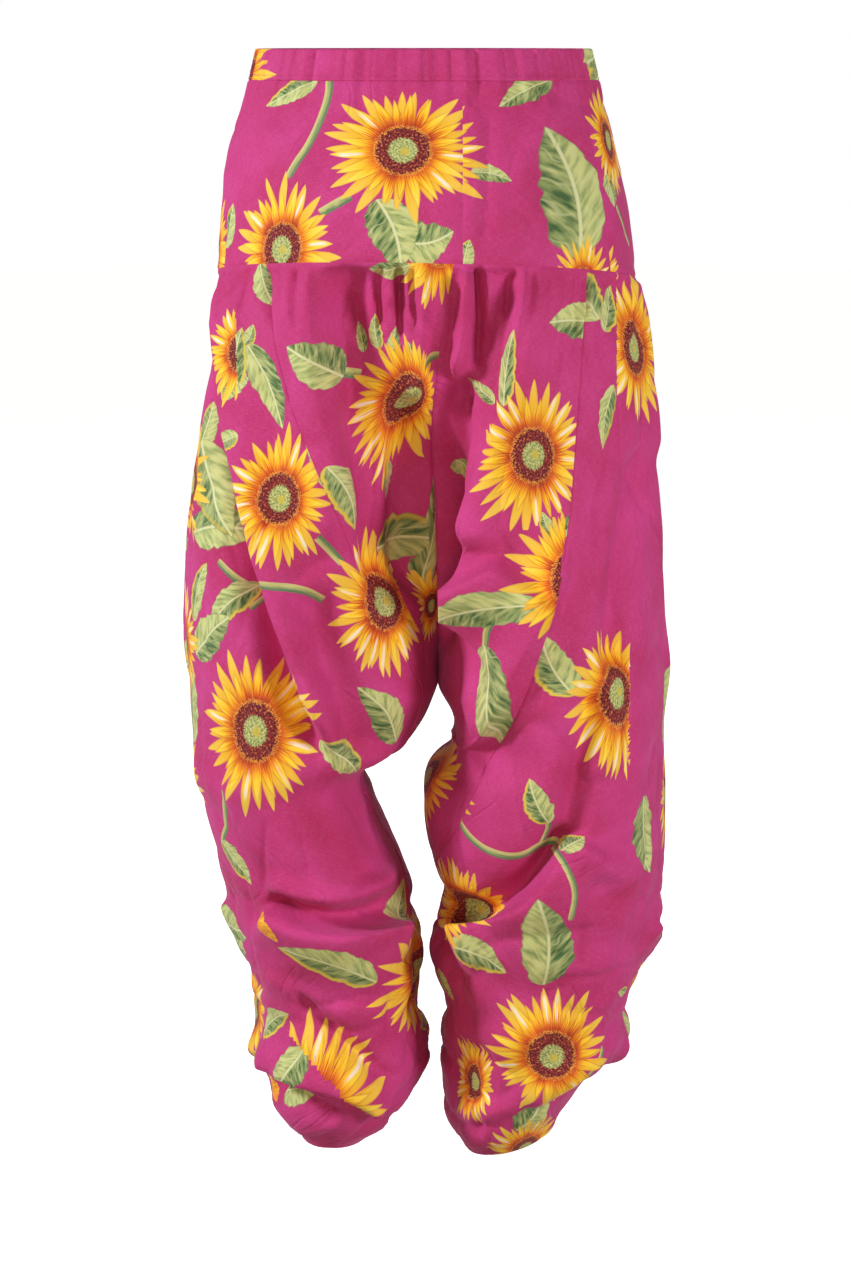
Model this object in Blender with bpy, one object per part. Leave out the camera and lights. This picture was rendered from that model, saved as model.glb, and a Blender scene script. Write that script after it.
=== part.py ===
"""Patiala pants as worn: eight cut pieces of cloth, hollow, with a yoke, leg panels and gussets.

Units are metres, +Z is up and the origin is the middle of the waist opening. The wearer's back is
toward -Y and the wearer's left toward -X. The pieces keep a small gap at every seam.
"""
import math
from collections import namedtuple

import bpy
import numpy as np

# ---------------------------------------------------------------- driving dimensions
WALL = 0.002                # cloth, with its turnings, as one wall
CASING_WALL = 0.003         # the casing is folded over
SEAM_GAP = 0.0003           # air between two pieces at a seam
CASING_DEPTH = 0.028
YOKE_SEAM_Z = -0.205        # the yoke seam at the wearer's sides
YOKE_SEAM_LIFT = 0.019      # how much higher the seam runs at the centre back
YOKE_SEAM_SLOPE = -0.018    # the seam falls toward the wearer's right, metres per metre
HEM_Z = -1.004
CROTCH_Z = -0.583
GUSSET_TIP_Z = -0.765
GUSSET_TIP_HALF = 0.006     # half width of the blunt tip of a gusset, in ring share
BACK_JOIN_X = 0.034         # the upright join in the back yoke
LEFT_SIDE_TURN = -72        # degrees from the centre back to the yoke's side seams
RIGHT_SIDE_TURN = 58
BACK_REACH = 0.15           # the yoke seam is fully lifted this far behind the middle
HIP_RADIUS = 0.17           # a middling radius of the hips, for angles of small gaps
GATHER_COUNT = 24           # small gathers of the elastic casing
GATHER_DEPTH = 0.0016
PANEL_COLUMNS = 21
GUSSET_COLUMNS = 6
YOKE_ROWS = 6
WARP_REACH = 0.11           # how far a slanted edge bends the rows next to it
NORMAL_STEP = 0.006         # reach of the differences that give a surface's normal
SHARE_STEP = 0.004          # the same along the ring alone
GAP_STEP = 0.002            # and for the length of a share of the ring
SEAM_CALM = 0.05            # folds die away over this share of the ring beside the centre seam
END_CALM = 0.03             # and over this height below the yoke seam and above the hem
CASING_CALM = 0.01          # the gathers die away over this height above the casing's edge
OUTER_FACE_X = 0.11         # the outer face of a leg begins this far from the middle
SEAM_SAMPLES = 241          # points of the ring tried to find where a seam crosses it

# ---------------------------------------------------------------- sections
Hip = namedtuple("Hip", "z left right back front")
HIP_SECTIONS = [
    Hip(0.000, -0.152, 0.151, -0.098, 0.098),
    Hip(-0.028, -0.159, 0.158, -0.104, 0.103),
    Hip(-0.060, -0.170, 0.168, -0.115, 0.109),
    Hip(-0.092, -0.179, 0.176, -0.127, 0.114),
    Hip(-0.137, -0.185, 0.185, -0.140, 0.118),
    Hip(-0.170, -0.187, 0.190, -0.146, 0.120),
    Hip(-0.205, -0.190, 0.194, -0.150, 0.122),
    Hip(-0.230, -0.194, 0.199, -0.152, 0.125),
]

# The centre seam from the yoke to the crotch, where the two gussets meet.
Centre = namedtuple("Centre", "z x")
CENTRE_SEAM = [
    Centre(-0.205, 0.026),
    Centre(-0.250, 0.017),
    Centre(-0.320, 0.007),
    Centre(-0.420, 0.010),
    Centre(-0.520, 0.0125),
    Centre(-0.583, 0.0125),
]

# The inner side of a leg counts only below the crotch. Closing is 0 where the section is open
# toward the other leg and 1 where it is a ring of its own.
Leg = namedtuple("Leg", "z outer inner back front closing")
LEFT_LEG = [
    Leg(-0.205, -0.190, 0.026, -0.150, 0.122, 0.00),
    Leg(-0.250, -0.195, 0.017, -0.155, 0.128, 0.14),
    Leg(-0.320, -0.204, 0.007, -0.161, 0.137, 0.36),
    Leg(-0.420, -0.218, 0.010, -0.165, 0.147, 0.55),
    Leg(-0.520, -0.223, 0.0125, -0.166, 0.152, 0.76),
    Leg(-0.583, -0.220, 0.0125, -0.163, 0.152, 1.00),
    Leg(-0.615, -0.219, -0.002, -0.160, 0.151, 1.00),
    Leg(-0.640, -0.218, -0.021, -0.157, 0.150, 1.00),
    Leg(-0.658, -0.217, -0.052, -0.155, 0.149, 1.00),
    Leg(-0.690, -0.207, -0.047, -0.151, 0.146, 1.00),
    Leg(-0.755, -0.191, -0.019, -0.144, 0.139, 1.00),
    Leg(-0.812, -0.180, -0.004, -0.138, 0.130, 1.00),
    Leg(-0.890, -0.162, -0.001, -0.130, 0.117, 1.00),
    Leg(-0.945, -0.157, 0.001, -0.126, 0.103, 1.00),
    Leg(-0.975, -0.143, -0.012, -0.116, 0.082, 1.00),
    Leg(-1.004, -0.117, -0.052, -0.092, 0.030, 1.00),
]
RIGHT_LEG = [
    Leg(-0.205, 0.194, 0.026, -0.150, 0.122, 0.00),
    Leg(-0.250, 0.203, 0.017, -0.155, 0.128, 0.14),
    Leg(-0.320, 0.210, 0.007, -0.161, 0.137, 0.36),
    Leg(-0.420, 0.213, 0.010, -0.165, 0.147, 0.55),
    Leg(-0.520, 0.219, 0.0125, -0.166, 0.152, 0.76),
    Leg(-0.583, 0.223, 0.0125, -0.163, 0.152, 1.00),
    Leg(-0.637, 0.224, 0.032, -0.159, 0.151, 1.00),
    Leg(-0.660, 0.225, 0.006, -0.156, 0.150, 1.00),
    Leg(-0.695, 0.225, 0.000, -0.152, 0.148, 1.00),
    Leg(-0.755, 0.225, 0.009, -0.146, 0.143, 1.00),
    Leg(-0.782, 0.223, 0.014, -0.143, 0.139, 1.00),
    Leg(-0.822, 0.215, 0.005, -0.139, 0.135, 1.00),
    Leg(-0.890, 0.192, 0.015, -0.133, 0.126, 1.00),
    Leg(-0.940, 0.186, 0.017, -0.127, 0.114, 1.00),
    Leg(-0.960, 0.160, 0.014, -0.120, 0.104, 1.00),
    Leg(-0.976, 0.140, 0.018, -0.110, 0.090, 1.00),
    Leg(-1.004, 0.126, 0.036, -0.086, 0.060, 1.00),
]
SIDES = {"left": (-1, LEFT_LEG), "right": (1, RIGHT_LEG)}

# How much the hem rises for each metre toward +x and +y, and the place where it keeps its height.
# The right one rises over the instep of a foot turned outward; the left one is nearly level.
HemSlant = namedtuple("HemSlant", "rise_x rise_y level_x level_y")
HEM_SLANTS = {"left": HemSlant(0.0, 0.06, 0.0, -0.03), "right": HemSlant(0.28, 0.10, 0.085, -0.01)}
ROUNDNESS = 2.25            # 2 is an ellipse, more is squarer

# Where the slanted seam between leg panel and gusset lies, seen from behind and from in front.
Seam = namedtuple("Seam", "z back front")
LEFT_SEAM = [
    Seam(-0.205, -0.142, -0.138),
    Seam(-0.320, -0.113, -0.112),
    Seam(-0.420, -0.075, -0.078),
    Seam(-0.500, -0.036, -0.044),
    Seam(-0.570, -0.003, -0.012),
]
RIGHT_SEAM = [
    Seam(-0.205, 0.146, 0.142),
    Seam(-0.320, 0.136, 0.128),
    Seam(-0.420, 0.128, 0.112),
    Seam(-0.500, 0.114, 0.092),
    Seam(-0.580, 0.086, 0.066),
    Seam(-0.650, 0.052, 0.042),
    Seam(-0.720, 0.020, 0.018),
]
SEAMS = {"left": LEFT_SEAM, "right": RIGHT_SEAM}

# ---------------------------------------------------------------- largest folds
# A fold runs through its places: (x, z) on the back or the front of a leg, (y, z) on its outer
# side. It stands out of the cloth by its height (a trough has a negative height) and reaches
# "inner" metres toward the other leg or upward, and "outer" metres away from it or downward.
Fold = namedtuple("Fold", "side face places height inner outer")
FOLDS = [
    Fold("left", "back", [(-0.186, -0.24), (-0.172, -0.40), (-0.140, -0.53), (-0.080, -0.65)],
         0.014, 0.020, 0.036),
    Fold("left", "back", [(-0.196, -0.28), (-0.194, -0.42), (-0.166, -0.55), (-0.112, -0.66)],
         -0.011, 0.014, 0.012),
    Fold("left", "back", [(-0.100, -0.22), (-0.072, -0.34), (-0.050, -0.46)], 0.010, 0.012, 0.030),
    Fold("left", "back", [(-0.066, -0.23), (-0.040, -0.35), (-0.024, -0.46)], -0.012, 0.022, 0.016),
    Fold("left", "back", [(-0.022, -0.21), (-0.012, -0.27), (-0.022, -0.33)], -0.008, 0.008, 0.010),
    Fold("left", "back", [(-0.160, -0.785), (-0.105, -0.815), (-0.035, -0.820)],
         0.013, 0.014, 0.026),
    Fold("left", "back", [(-0.150, -0.755), (-0.090, -0.775), (-0.035, -0.785)],
         -0.010, 0.020, 0.016),
    Fold("left", "back", [(-0.140, -0.930), (-0.085, -0.945), (-0.045, -0.970)],
         0.008, 0.018, 0.018),
    Fold("left", "outer", [(-0.01, -0.24), (0.00, -0.45), (-0.02, -0.70)], -0.006, 0.024, 0.024),
    Fold("left", "front", [(-0.135, -0.22), (-0.125, -0.40), (-0.100, -0.60), (-0.075, -0.76)],
         0.012, 0.024, 0.030),
    Fold("left", "front", [(-0.095, -0.22), (-0.080, -0.38), (-0.055, -0.55)], -0.012, 0.022, 0.020),
    Fold("left", "front", [(-0.045, -0.22), (-0.040, -0.36), (-0.030, -0.48)], 0.010, 0.012, 0.018),
    Fold("left", "front", [(-0.165, -0.80), (-0.100, -0.835), (-0.035, -0.825)],
         0.012, 0.018, 0.024),
    Fold("right", "back", [(0.068, -0.20), (0.074, -0.32), (0.060, -0.44), (0.020, -0.53)],
         0.014, 0.012, 0.036),
    Fold("right", "back", [(0.036, -0.20), (0.030, -0.30), (0.026, -0.40), (0.040, -0.46)],
         0.012, 0.010, 0.012),
    Fold("right", "back", [(0.106, -0.22), (0.098, -0.32), (0.100, -0.42)], -0.007, 0.012, 0.016),
    Fold("right", "back", [(0.190, -0.37), (0.174, -0.50), (0.164, -0.62)], -0.010, 0.016, 0.014),
    Fold("right", "back", [(0.030, -0.830), (0.085, -0.800), (0.135, -0.720)],
         0.012, 0.014, 0.028),
    Fold("right", "back", [(0.020, -0.790), (0.070, -0.760), (0.110, -0.700)],
         -0.010, 0.020, 0.014),
    Fold("right", "outer", [(0.02, -0.24), (0.03, -0.45), (0.01, -0.70)], -0.006, 0.024, 0.024),
    Fold("right", "front", [(0.125, -0.22), (0.130, -0.42), (0.105, -0.62), (0.085, -0.78)],
         0.012, 0.024, 0.030),
    Fold("right", "front", [(0.085, -0.22), (0.085, -0.40), (0.055, -0.56)], -0.012, 0.022, 0.020),
    Fold("right", "front", [(0.050, -0.22), (0.045, -0.36), (0.030, -0.50)], 0.010, 0.012, 0.018),
    Fold("right", "front", [(0.040, -0.83), (0.110, -0.85), (0.175, -0.80)], 0.012, 0.018, 0.024),
]
FOLD_FADE = 0.16            # the share of a fold's length over which each end dies away
FACE_FADE = 0.03            # how far a fold reaches round onto the next face of the leg

LEG_ROWS = np.concatenate([
    np.linspace(YOKE_SEAM_Z, -0.555, 13),
    [-0.573, CROTCH_Z, -0.605, -0.630, -0.652, -0.668, -0.690, -0.715, -0.740],
    [GUSSET_TIP_Z, GUSSET_TIP_Z - 0.0006],
    np.linspace(-0.795, -0.925, 5),
    [-0.945, -0.962, -0.984, HEM_Z],
])
CROTCH_ROW = int(np.argmin(abs(LEG_ROWS - CROTCH_Z)))
TIP_ROW = int(np.argmin(abs(LEG_ROWS - GUSSET_TIP_Z)))

# ---------------------------------------------------------------- colours
CLOTH_COLOUR = (0.50, 0.045, 0.22, 1.0)
CLOTH_ROUGHNESS = 0.78
CASING_ROUGHNESS = 0.80


def clear_scene():
    for item in list(bpy.data.objects):
        bpy.data.objects.remove(item, do_unlink=True)


def smooth_table(z, table, column):
    """A table's column at the heights z, as a smooth curve through its rows."""
    rows = sorted(table, key=lambda row: row.z)
    heights = np.array([row.z for row in rows])
    values = np.array([getattr(row, column) for row in rows])
    slopes = np.gradient(values, heights)
    z = np.clip(z, heights[0], heights[-1])
    left = np.clip(np.searchsorted(heights, z, side="right") - 1, 0, len(rows) - 2)
    span = heights[left + 1] - heights[left]
    t = (z - heights[left]) / span
    start = (2 * t**3 - 3 * t**2 + 1) * values[left] + (t**3 - 2 * t**2 + t) * span * slopes[left]
    end = (3 * t**2 - 2 * t**3) * values[left + 1] + (t**3 - t**2) * span * slopes[left + 1]
    return start + end


def signed_power(value, exponent):
    return np.sign(value) * np.abs(value) ** exponent


def smooth_step(value):
    value = np.clip(value, 0.0, 1.0)
    return value * value * (3 - 2 * value)


def centre_seam(z):
    return smooth_table(z, CENTRE_SEAM, "x")


def yoke_seam_height(x, y):
    lift = YOKE_SEAM_LIFT * np.clip(-y / BACK_REACH, 0.0, 1.0)
    return YOKE_SEAM_Z + lift + YOKE_SEAM_SLOPE * x


def hip_point(angle, z):
    """The hip ring; the angle runs from the centre back over the wearer's right side."""
    middle = (smooth_table(z, HIP_SECTIONS, "left") + smooth_table(z, HIP_SECTIONS, "right")) / 2
    half = (smooth_table(z, HIP_SECTIONS, "right") - smooth_table(z, HIP_SECTIONS, "left")) / 2
    back = smooth_table(z, HIP_SECTIONS, "back")
    front = smooth_table(z, HIP_SECTIONS, "front")
    x = middle + half * signed_power(np.sin(angle), 2 / ROUNDNESS)
    toward_back = signed_power(np.cos(angle), 2 / ROUNDNESS)
    y = np.where(toward_back > 0, back * toward_back, -front * toward_back)
    return x, y


def leg_ring(side, share, z):
    """A point of the bare leg section; share 0 is the centre back, 1 the centre front."""
    sign, table = SIDES[side]
    outer, inner, back, front, closing = [
        smooth_table(z, table, name) for name in ("outer", "inner", "back", "front", "closing")]
    closing = np.where(z > CROTCH_Z, np.clip(closing, 0.0, 1.0), 1.0)
    inner = np.where(z > CROTCH_Z, centre_seam(z), inner)
    middle = (smooth_table(z, LEFT_LEG, "outer") + smooth_table(z, RIGHT_LEG, "outer")) / 2
    half = np.abs(outer - middle)
    start = np.arcsin(signed_power(sign * (inner - middle) / half, ROUNDNESS / 2))
    open_angle = start + share * (math.pi - 2 * start)
    open_x = middle + sign * half * signed_power(np.sin(open_angle), 2 / ROUNDNESS)
    reach = signed_power(np.cos(open_angle), 2 / ROUNDNESS)
    open_y = np.where(reach > 0, back * reach, -front * reach)
    closed_angle = share * 2 * math.pi
    closed_x = (inner + outer) / 2
    closed_x = closed_x - (outer - inner) / 2 * signed_power(np.cos(closed_angle), 2 / ROUNDNESS)
    reach = signed_power(np.sin(closed_angle), 2 / ROUNDNESS)
    closed_middle = (back + front) / 2
    depth = (front - back) / 2
    closed_y = closed_middle - depth * reach
    x = (1 - closing) * open_x + closing * closed_x
    y = (1 - closing) * open_y + closing * closed_y
    return x, y


def share_at(side, face, x, z):
    """The ring share whose section point has this x, on the back or the front of the leg."""
    first, last = (0.0, 0.5) if face == "back" else (0.5, 1.0)
    shares = np.linspace(first, last, SEAM_SAMPLES)
    ring_x, _ = leg_ring(side, shares, np.full_like(shares, z))
    order = np.argsort(ring_x)
    return float(np.interp(x, ring_x[order], shares[order]))


def beside_line(places, x, z, upward):
    """Distance beside a line of places, its sign, and how far along the line each point is.

    The distance is positive toward +x, or downward where the line runs more along x than z.
    """
    places = np.array(places)
    runs = np.diff(places, axis=0)
    lengths = np.linalg.norm(runs, axis=1)
    starts = np.concatenate([[0.0], np.cumsum(lengths)])
    best = np.full(x.shape, np.inf)
    across = np.zeros(x.shape)
    along = np.zeros(x.shape)
    for place, run, length, start in zip(places, runs, lengths, starts):
        share = ((x - place[0]) * run[0] + (z - place[1]) * run[1]) / length**2
        bent = np.clip(share, 0.0, 1.0)
        off_x = x - place[0] - bent * run[0]
        off_z = z - place[1] - bent * run[1]
        distance = np.hypot(off_x, off_z)
        nearer = distance < best
        best = np.where(nearer, distance, best)
        sign = np.sign(off_x) if upward else -np.sign(off_z)
        across = np.where(nearer, distance * sign, across)
        along = np.where(nearer, (start + share * length) / starts[-1], along)
    return across, along


def face_weight(face, x, y, side):
    """How much of a fold on this face shows at each point: 1 on the face, 0 beyond it."""
    if face == "back":
        return smooth_step(0.5 - y / FACE_FADE)
    if face == "front":
        return smooth_step(0.5 + y / FACE_FADE)
    return smooth_step(0.5 + (x * SIDES[side][0] - OUTER_FACE_X) / FACE_FADE)


def fold_height(side, share, z):
    """How far the folds of this leg push its cloth out, at each ring share and height."""
    total = np.zeros_like(share)
    x, y = leg_ring(side, share, z)
    sign = SIDES[side][0]
    for fold in FOLDS:
        if fold.side != side:
            continue
        first, last = fold.places[0], fold.places[-1]
        upward = abs(first[1] - last[1]) > abs(first[0] - last[0])
        spot = y if fold.face == "outer" else x
        across, along = beside_line(fold.places, spot, z, upward)
        if upward and fold.face != "outer":
            across = across * sign
        reach = np.where(across > 0, fold.outer, fold.inner)
        fade = smooth_step(along / FOLD_FADE) * smooth_step((1 - along) / FOLD_FADE)
        fade = fade * face_weight(fold.face, x, y, side)
        total += fold.height * fade * np.exp(-(across / reach) ** 2)
    return total


def leg_surface(side, share, z):
    """The outer face of a leg, with its folds and slanted ends, as an array of points."""
    x, y = leg_ring(side, share, z)
    x_next, y_next = leg_ring(side, np.clip(share + SHARE_STEP, 0, 1), z)
    x_last, y_last = leg_ring(side, np.clip(share - SHARE_STEP, 0, 1), z)
    run = np.stack([x_next - x_last, y_next - y_last], axis=-1)
    run /= np.maximum(np.linalg.norm(run, axis=-1, keepdims=True), 1e-9)
    sign = SIDES[side][0]
    near_seam = np.minimum(share, 1 - share)
    calm = smooth_step(near_seam / SEAM_CALM) * smooth_step((YOKE_SEAM_Z - z) / END_CALM)
    calm = calm * smooth_step((z - HEM_Z) / END_CALM)
    push = fold_height(side, share, z) * calm
    x = x + sign * run[..., 1] * push
    y = y - sign * run[..., 0] * push
    top = smooth_step(1 - (YOKE_SEAM_Z - z) / WARP_REACH)
    lifted = z + top * (yoke_seam_height(x, y) - YOKE_SEAM_Z)
    foot = smooth_step(1 - (z - HEM_Z) / WARP_REACH)
    return np.stack([x, y, lifted + foot * hem_slant(side, x, y)], axis=-1)


def hem_slant(side, x, y):
    """How much higher the hem is at each place than HEM_Z."""
    slant = HEM_SLANTS[side]
    return slant.rise_x * (x - slant.level_x) + slant.rise_y * (y - slant.level_y)


def leg_normal(side, share, z):
    """Outward normal of a leg's surface, from four neighbours on it."""
    ahead = leg_surface(side, np.clip(share + NORMAL_STEP, 0, 1), z)
    behind = leg_surface(side, np.clip(share - NORMAL_STEP, 0, 1), z)
    below = leg_surface(side, share, z - NORMAL_STEP)
    above = leg_surface(side, share, z + NORMAL_STEP)
    normal = np.cross(ahead - behind, below - above) * SIDES[side][0]
    return normal / np.maximum(np.linalg.norm(normal, axis=-1, keepdims=True), 1e-12)


def wall_grid(outer, inner):
    """Both faces of a wall as one list of points, and the number of points per face."""
    points = np.concatenate([outer.reshape(-1, 3), inner.reshape(-1, 3)])
    return points, outer.shape[0] * outer.shape[1]


def sheet_faces(rows, columns, closed):
    """Quads of a grid, row by row; a closed grid joins its last column to its first."""
    wrap = columns if closed else columns - 1
    for row in range(rows - 1):
        for column in range(wrap):
            ahead = (column + 1) % columns
            yield (row * columns + column, row * columns + ahead,
                   (row + 1) * columns + ahead, (row + 1) * columns + column)


def thicken(quads, face_count):
    """Triangles of a wall's outer face, its inner face and a rim along every open edge.

    Both faces are cut along the same diagonals, so that a twisted quad keeps its wall. Each rim
    quad is cut from its first outer point to its last inner one, so that the rims of two pieces
    at a seam are cut alike and stay apart.
    """
    faces = []
    edges = set()
    for first, second, third, fourth in quads:
        for triangle in ((first, second, third), (first, third, fourth)):
            faces.append(triangle)
            faces.append(tuple(corner + face_count for corner in reversed(triangle)))
        edges |= {(first, second), (second, third), (third, fourth), (fourth, first)}
    for start, end in sorted(edges):
        if (end, start) in edges:
            continue
        behind_start, behind_end = start + face_count, end + face_count
        if start < end:
            faces += [(end, start, behind_end), (start, behind_start, behind_end)]
        else:
            faces += [(end, start, behind_start), (end, behind_start, behind_end)]
    return faces


def cloth_material(name, roughness):
    material = bpy.data.materials.new(name)
    material.use_nodes = True
    shader = material.node_tree.nodes["Principled BSDF"]
    shader.inputs["Base Color"].default_value = CLOTH_COLOUR
    shader.inputs["Roughness"].default_value = roughness
    shader.inputs["Metallic"].default_value = 0.0
    return material


def signed_volume(points, faces):
    """Volume inside the faces; it is negative when they face inward."""
    total = 0.0
    for face in faces:
        first = points[face[0]]
        for left, right in zip(face[1:], face[2:]):
            total += np.dot(first, np.cross(points[left], points[right]))
    return total / 6


def add_wall(name, points, faces, material):
    if signed_volume(points, faces) < 0:
        faces = [tuple(reversed(face)) for face in faces]
    mesh = bpy.data.meshes.new(name)
    mesh.from_pydata([tuple(point) for point in points], [], faces)
    mesh.update()
    mesh.materials.append(material)
    mesh.shade_smooth()
    mesh.set_sharp_from_angle(angle=math.radians(50))
    item = bpy.data.objects.new(name, mesh)
    bpy.context.scene.collection.objects.link(item)
    return item


def add_casing(material):
    """The elastic casing: a closed ring with small gathers."""
    columns = GATHER_COUNT * 4
    angles = np.linspace(0.0, 2 * math.pi, columns, endpoint=False)
    heights = np.array([0.0, -CASING_DEPTH / 2, -CASING_DEPTH + SEAM_GAP / 2])
    angle, z = np.meshgrid(angles, heights)
    wave = GATHER_DEPTH * np.sin(angle * GATHER_COUNT) * smooth_step((z + CASING_DEPTH) / CASING_CALM)
    layers = []
    for inset in (0.0, CASING_WALL):
        x, y = hip_point(angle, z)
        length = np.hypot(x, y)
        scale = (length - inset + wave) / length
        layers.append(np.stack([x * scale, y * scale, z], axis=-1))
    points, count = wall_grid(*layers)
    faces = thicken(sheet_faces(len(heights), columns, closed=True), count)
    add_wall("waist_casing", points, faces, material)


def angle_at_x(x, z, face):
    """The hip ring's angle at this x; the face picks the back or the front half."""
    middle = (smooth_table(z, HIP_SECTIONS, "left") + smooth_table(z, HIP_SECTIONS, "right")) / 2
    half = (smooth_table(z, HIP_SECTIONS, "right") - smooth_table(z, HIP_SECTIONS, "left")) / 2
    angle = np.arcsin(signed_power((x - middle) / half, ROUNDNESS / 2))
    return angle if face == "back" else math.pi - angle


def yoke_edge(edge, z):
    """The hip ring's angle at one of the yoke's upright edges."""
    if edge == "join":
        return float(angle_at_x(BACK_JOIN_X, np.array([z]), "back")[0])
    turn = RIGHT_SIDE_TURN if edge == "right" else LEFT_SIDE_TURN
    return math.radians(turn + 360 * (edge == "left, all round"))


def add_yoke_piece(name, start, end, columns, material):
    """A yoke piece between two upright edges, from the casing down to the yoke seam."""
    shares = np.linspace(0.0, 1.0, columns)
    gap = SEAM_GAP / 2 / HIP_RADIUS
    top = -CASING_DEPTH - SEAM_GAP / 2
    layers = []
    for inset in (0.0, WALL):
        grid = []
        for row in np.linspace(0.0, 1.0, YOKE_ROWS):
            level = -CASING_DEPTH + row * (YOKE_SEAM_Z + CASING_DEPTH)
            first, last = yoke_edge(start, level) + gap, yoke_edge(end, level) - gap
            angle = first * (1 - shares) + last * shares
            x, y = hip_point(angle, np.full_like(angle, level))
            bottom = yoke_seam_height(x, y) + SEAM_GAP / 2
            height = top + row * (bottom - top)
            length = np.hypot(x, y)
            scale = (length - inset) / length
            grid.append(np.stack([x * scale, y * scale, height], axis=-1))
        layers.append(np.array(grid))
    points, count = wall_grid(*layers)
    faces = thicken(sheet_faces(YOKE_ROWS, columns, closed=False), count)
    add_wall(name, points, faces, material)


def seam_share(side, face, z):
    """Ring share of the slanted seam; below the seam table it closes in on the tip."""
    table = SEAMS[side]
    last = table[-1]
    reach = np.clip(z, last.z, table[0].z)
    x = float(smooth_table(np.array([reach]), table, face)[0])
    share = share_at(side, face, x, reach)
    if z < last.z:
        left = np.clip((z - GUSSET_TIP_Z) / (last.z - GUSSET_TIP_Z), 0.0, 1.0)
        tip = GUSSET_TIP_HALF if face == "back" else 1 - GUSSET_TIP_HALF
        share = tip + left * (share - tip)
    return share


def gap_share(side, share, z):
    """Half the seam gap, as a share of the ring at this place."""
    first, last = max(share - GAP_STEP, 0), min(share + GAP_STEP, 1)
    ends = leg_surface(side, np.array([first, last]), np.array([z, z]))
    length = np.linalg.norm(ends[1] - ends[0]) / (last - first)
    return SEAM_GAP / 2 / length


def panel_shares(side, z, row):
    """Ring shares of a leg panel's columns; below the gusset's tip its two edges meet."""
    start, end = seam_share(side, "back", z), seam_share(side, "front", z)
    shares = np.linspace(start, end, PANEL_COLUMNS)
    if row > TIP_ROW:
        start, end = 0.0, 1.0
    shares[0] = start + gap_share(side, start, z)
    shares[-1] = end - gap_share(side, end, z)
    return shares


def gusset_shares(side, z):
    """Ring shares of a gusset's two wings at one height, from seam to seam."""
    back, front = seam_share(side, "back", z), seam_share(side, "front", z)
    back -= gap_share(side, back, z)
    front += gap_share(side, front, z)
    return np.concatenate([np.linspace(back, 0.0, GUSSET_COLUMNS),
                           np.linspace(1.0, front, GUSSET_COLUMNS)])


def leg_wall(side, shares, heights):
    """The outer and inner faces of a piece of one leg."""
    z = np.repeat(heights[:, None], shares.shape[1], axis=1)
    z = np.where(z == LEG_ROWS[0], z - SEAM_GAP / 2, z)
    sign = SIDES[side][0]
    outer = leg_surface(side, shares, z)
    normal = leg_normal(side, shares, z)
    on_seam = ((shares < 1e-6) | (shares > 1 - 1e-6)) & (z > CROTCH_Z - 1e-6)
    normal[..., 0] = np.where(on_seam, 0.0, normal[..., 0])
    normal /= np.linalg.norm(normal, axis=-1, keepdims=True)
    limit = np.where(z >= CROTCH_Z - 1e-6, centre_seam(z) + sign * SEAM_GAP / 2, -sign * np.inf)
    inner = outer - WALL * normal
    for face in (outer, inner):
        face[..., 0] = sign * np.maximum(sign * face[..., 0], sign * limit)
    return outer, inner


def add_leg_panel(side, material):
    shares = np.array([panel_shares(side, z, row) for row, z in enumerate(LEG_ROWS)])
    points, count = wall_grid(*leg_wall(side, shares, LEG_ROWS))
    quads = sheet_faces(len(LEG_ROWS), PANEL_COLUMNS, closed=False)
    add_wall(f"leg_{side}_panel", points, thicken(quads, count), material)


def add_gusset(side, material):
    """Two wings that join under the crotch; above it they part at the centre seam."""
    heights = np.append(LEG_ROWS[:TIP_ROW], GUSSET_TIP_Z + SEAM_GAP)
    shares = np.array([gusset_shares(side, z) for z in heights])
    columns = 2 * GUSSET_COLUMNS
    points, count = wall_grid(*leg_wall(side, shares, heights))
    first_front = GUSSET_COLUMNS

    def joined(index):
        row, column = divmod(index, columns)
        if row >= CROTCH_ROW and column == first_front:
            return index - 1
        return index

    quads = []
    for quad in sheet_faces(len(heights), columns, closed=False):
        if quad[0] % columns == first_front - 1:
            continue
        quads.append(tuple(joined(corner) for corner in quad))
    faces = thicken(quads, count)
    used = sorted({corner for face in faces for corner in face})
    place = {old: new for new, old in enumerate(used)}
    faces = [tuple(place[corner] for corner in face) for face in faces]
    add_wall(f"leg_{side}_gusset", points[used], faces, material)


def main():
    clear_scene()
    casing = cloth_material("casing_cotton", CASING_ROUGHNESS)
    yoke = cloth_material("yoke_cotton", CLOTH_ROUGHNESS)
    legs = cloth_material("leg_cotton", CLOTH_ROUGHNESS)
    add_casing(casing)
    add_yoke_piece("yoke_back_left", "left", "join", 14, yoke)
    add_yoke_piece("yoke_back_right", "join", "right", 9, yoke)
    add_yoke_piece("yoke_front", "right", "left, all round", 26, yoke)
    for side in SIDES:
        add_leg_panel(side, legs)
        add_gusset(side, legs)


main()
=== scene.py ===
"""Looks of the patiala pants: thin worn cloth with its folds and gathers, flower print and stitches.

The bare form repeats the tables of the CAD source. Folds push it along its normal, and small ones
are noise. A print motif is a place on the cloth: the faces near it get flat coordinates of their
own, and the material draws petals, leaves and stems there by formula. Lengths are in metres.

Many places in the tables of sections, folds and motifs were read by eye, in pixels, off a picture of
the back and turned into metres by separate calculations. The others were set or moved one by one.
"""

import math
from collections import namedtuple

import bpy
import numpy as np
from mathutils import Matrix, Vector, noise


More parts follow.
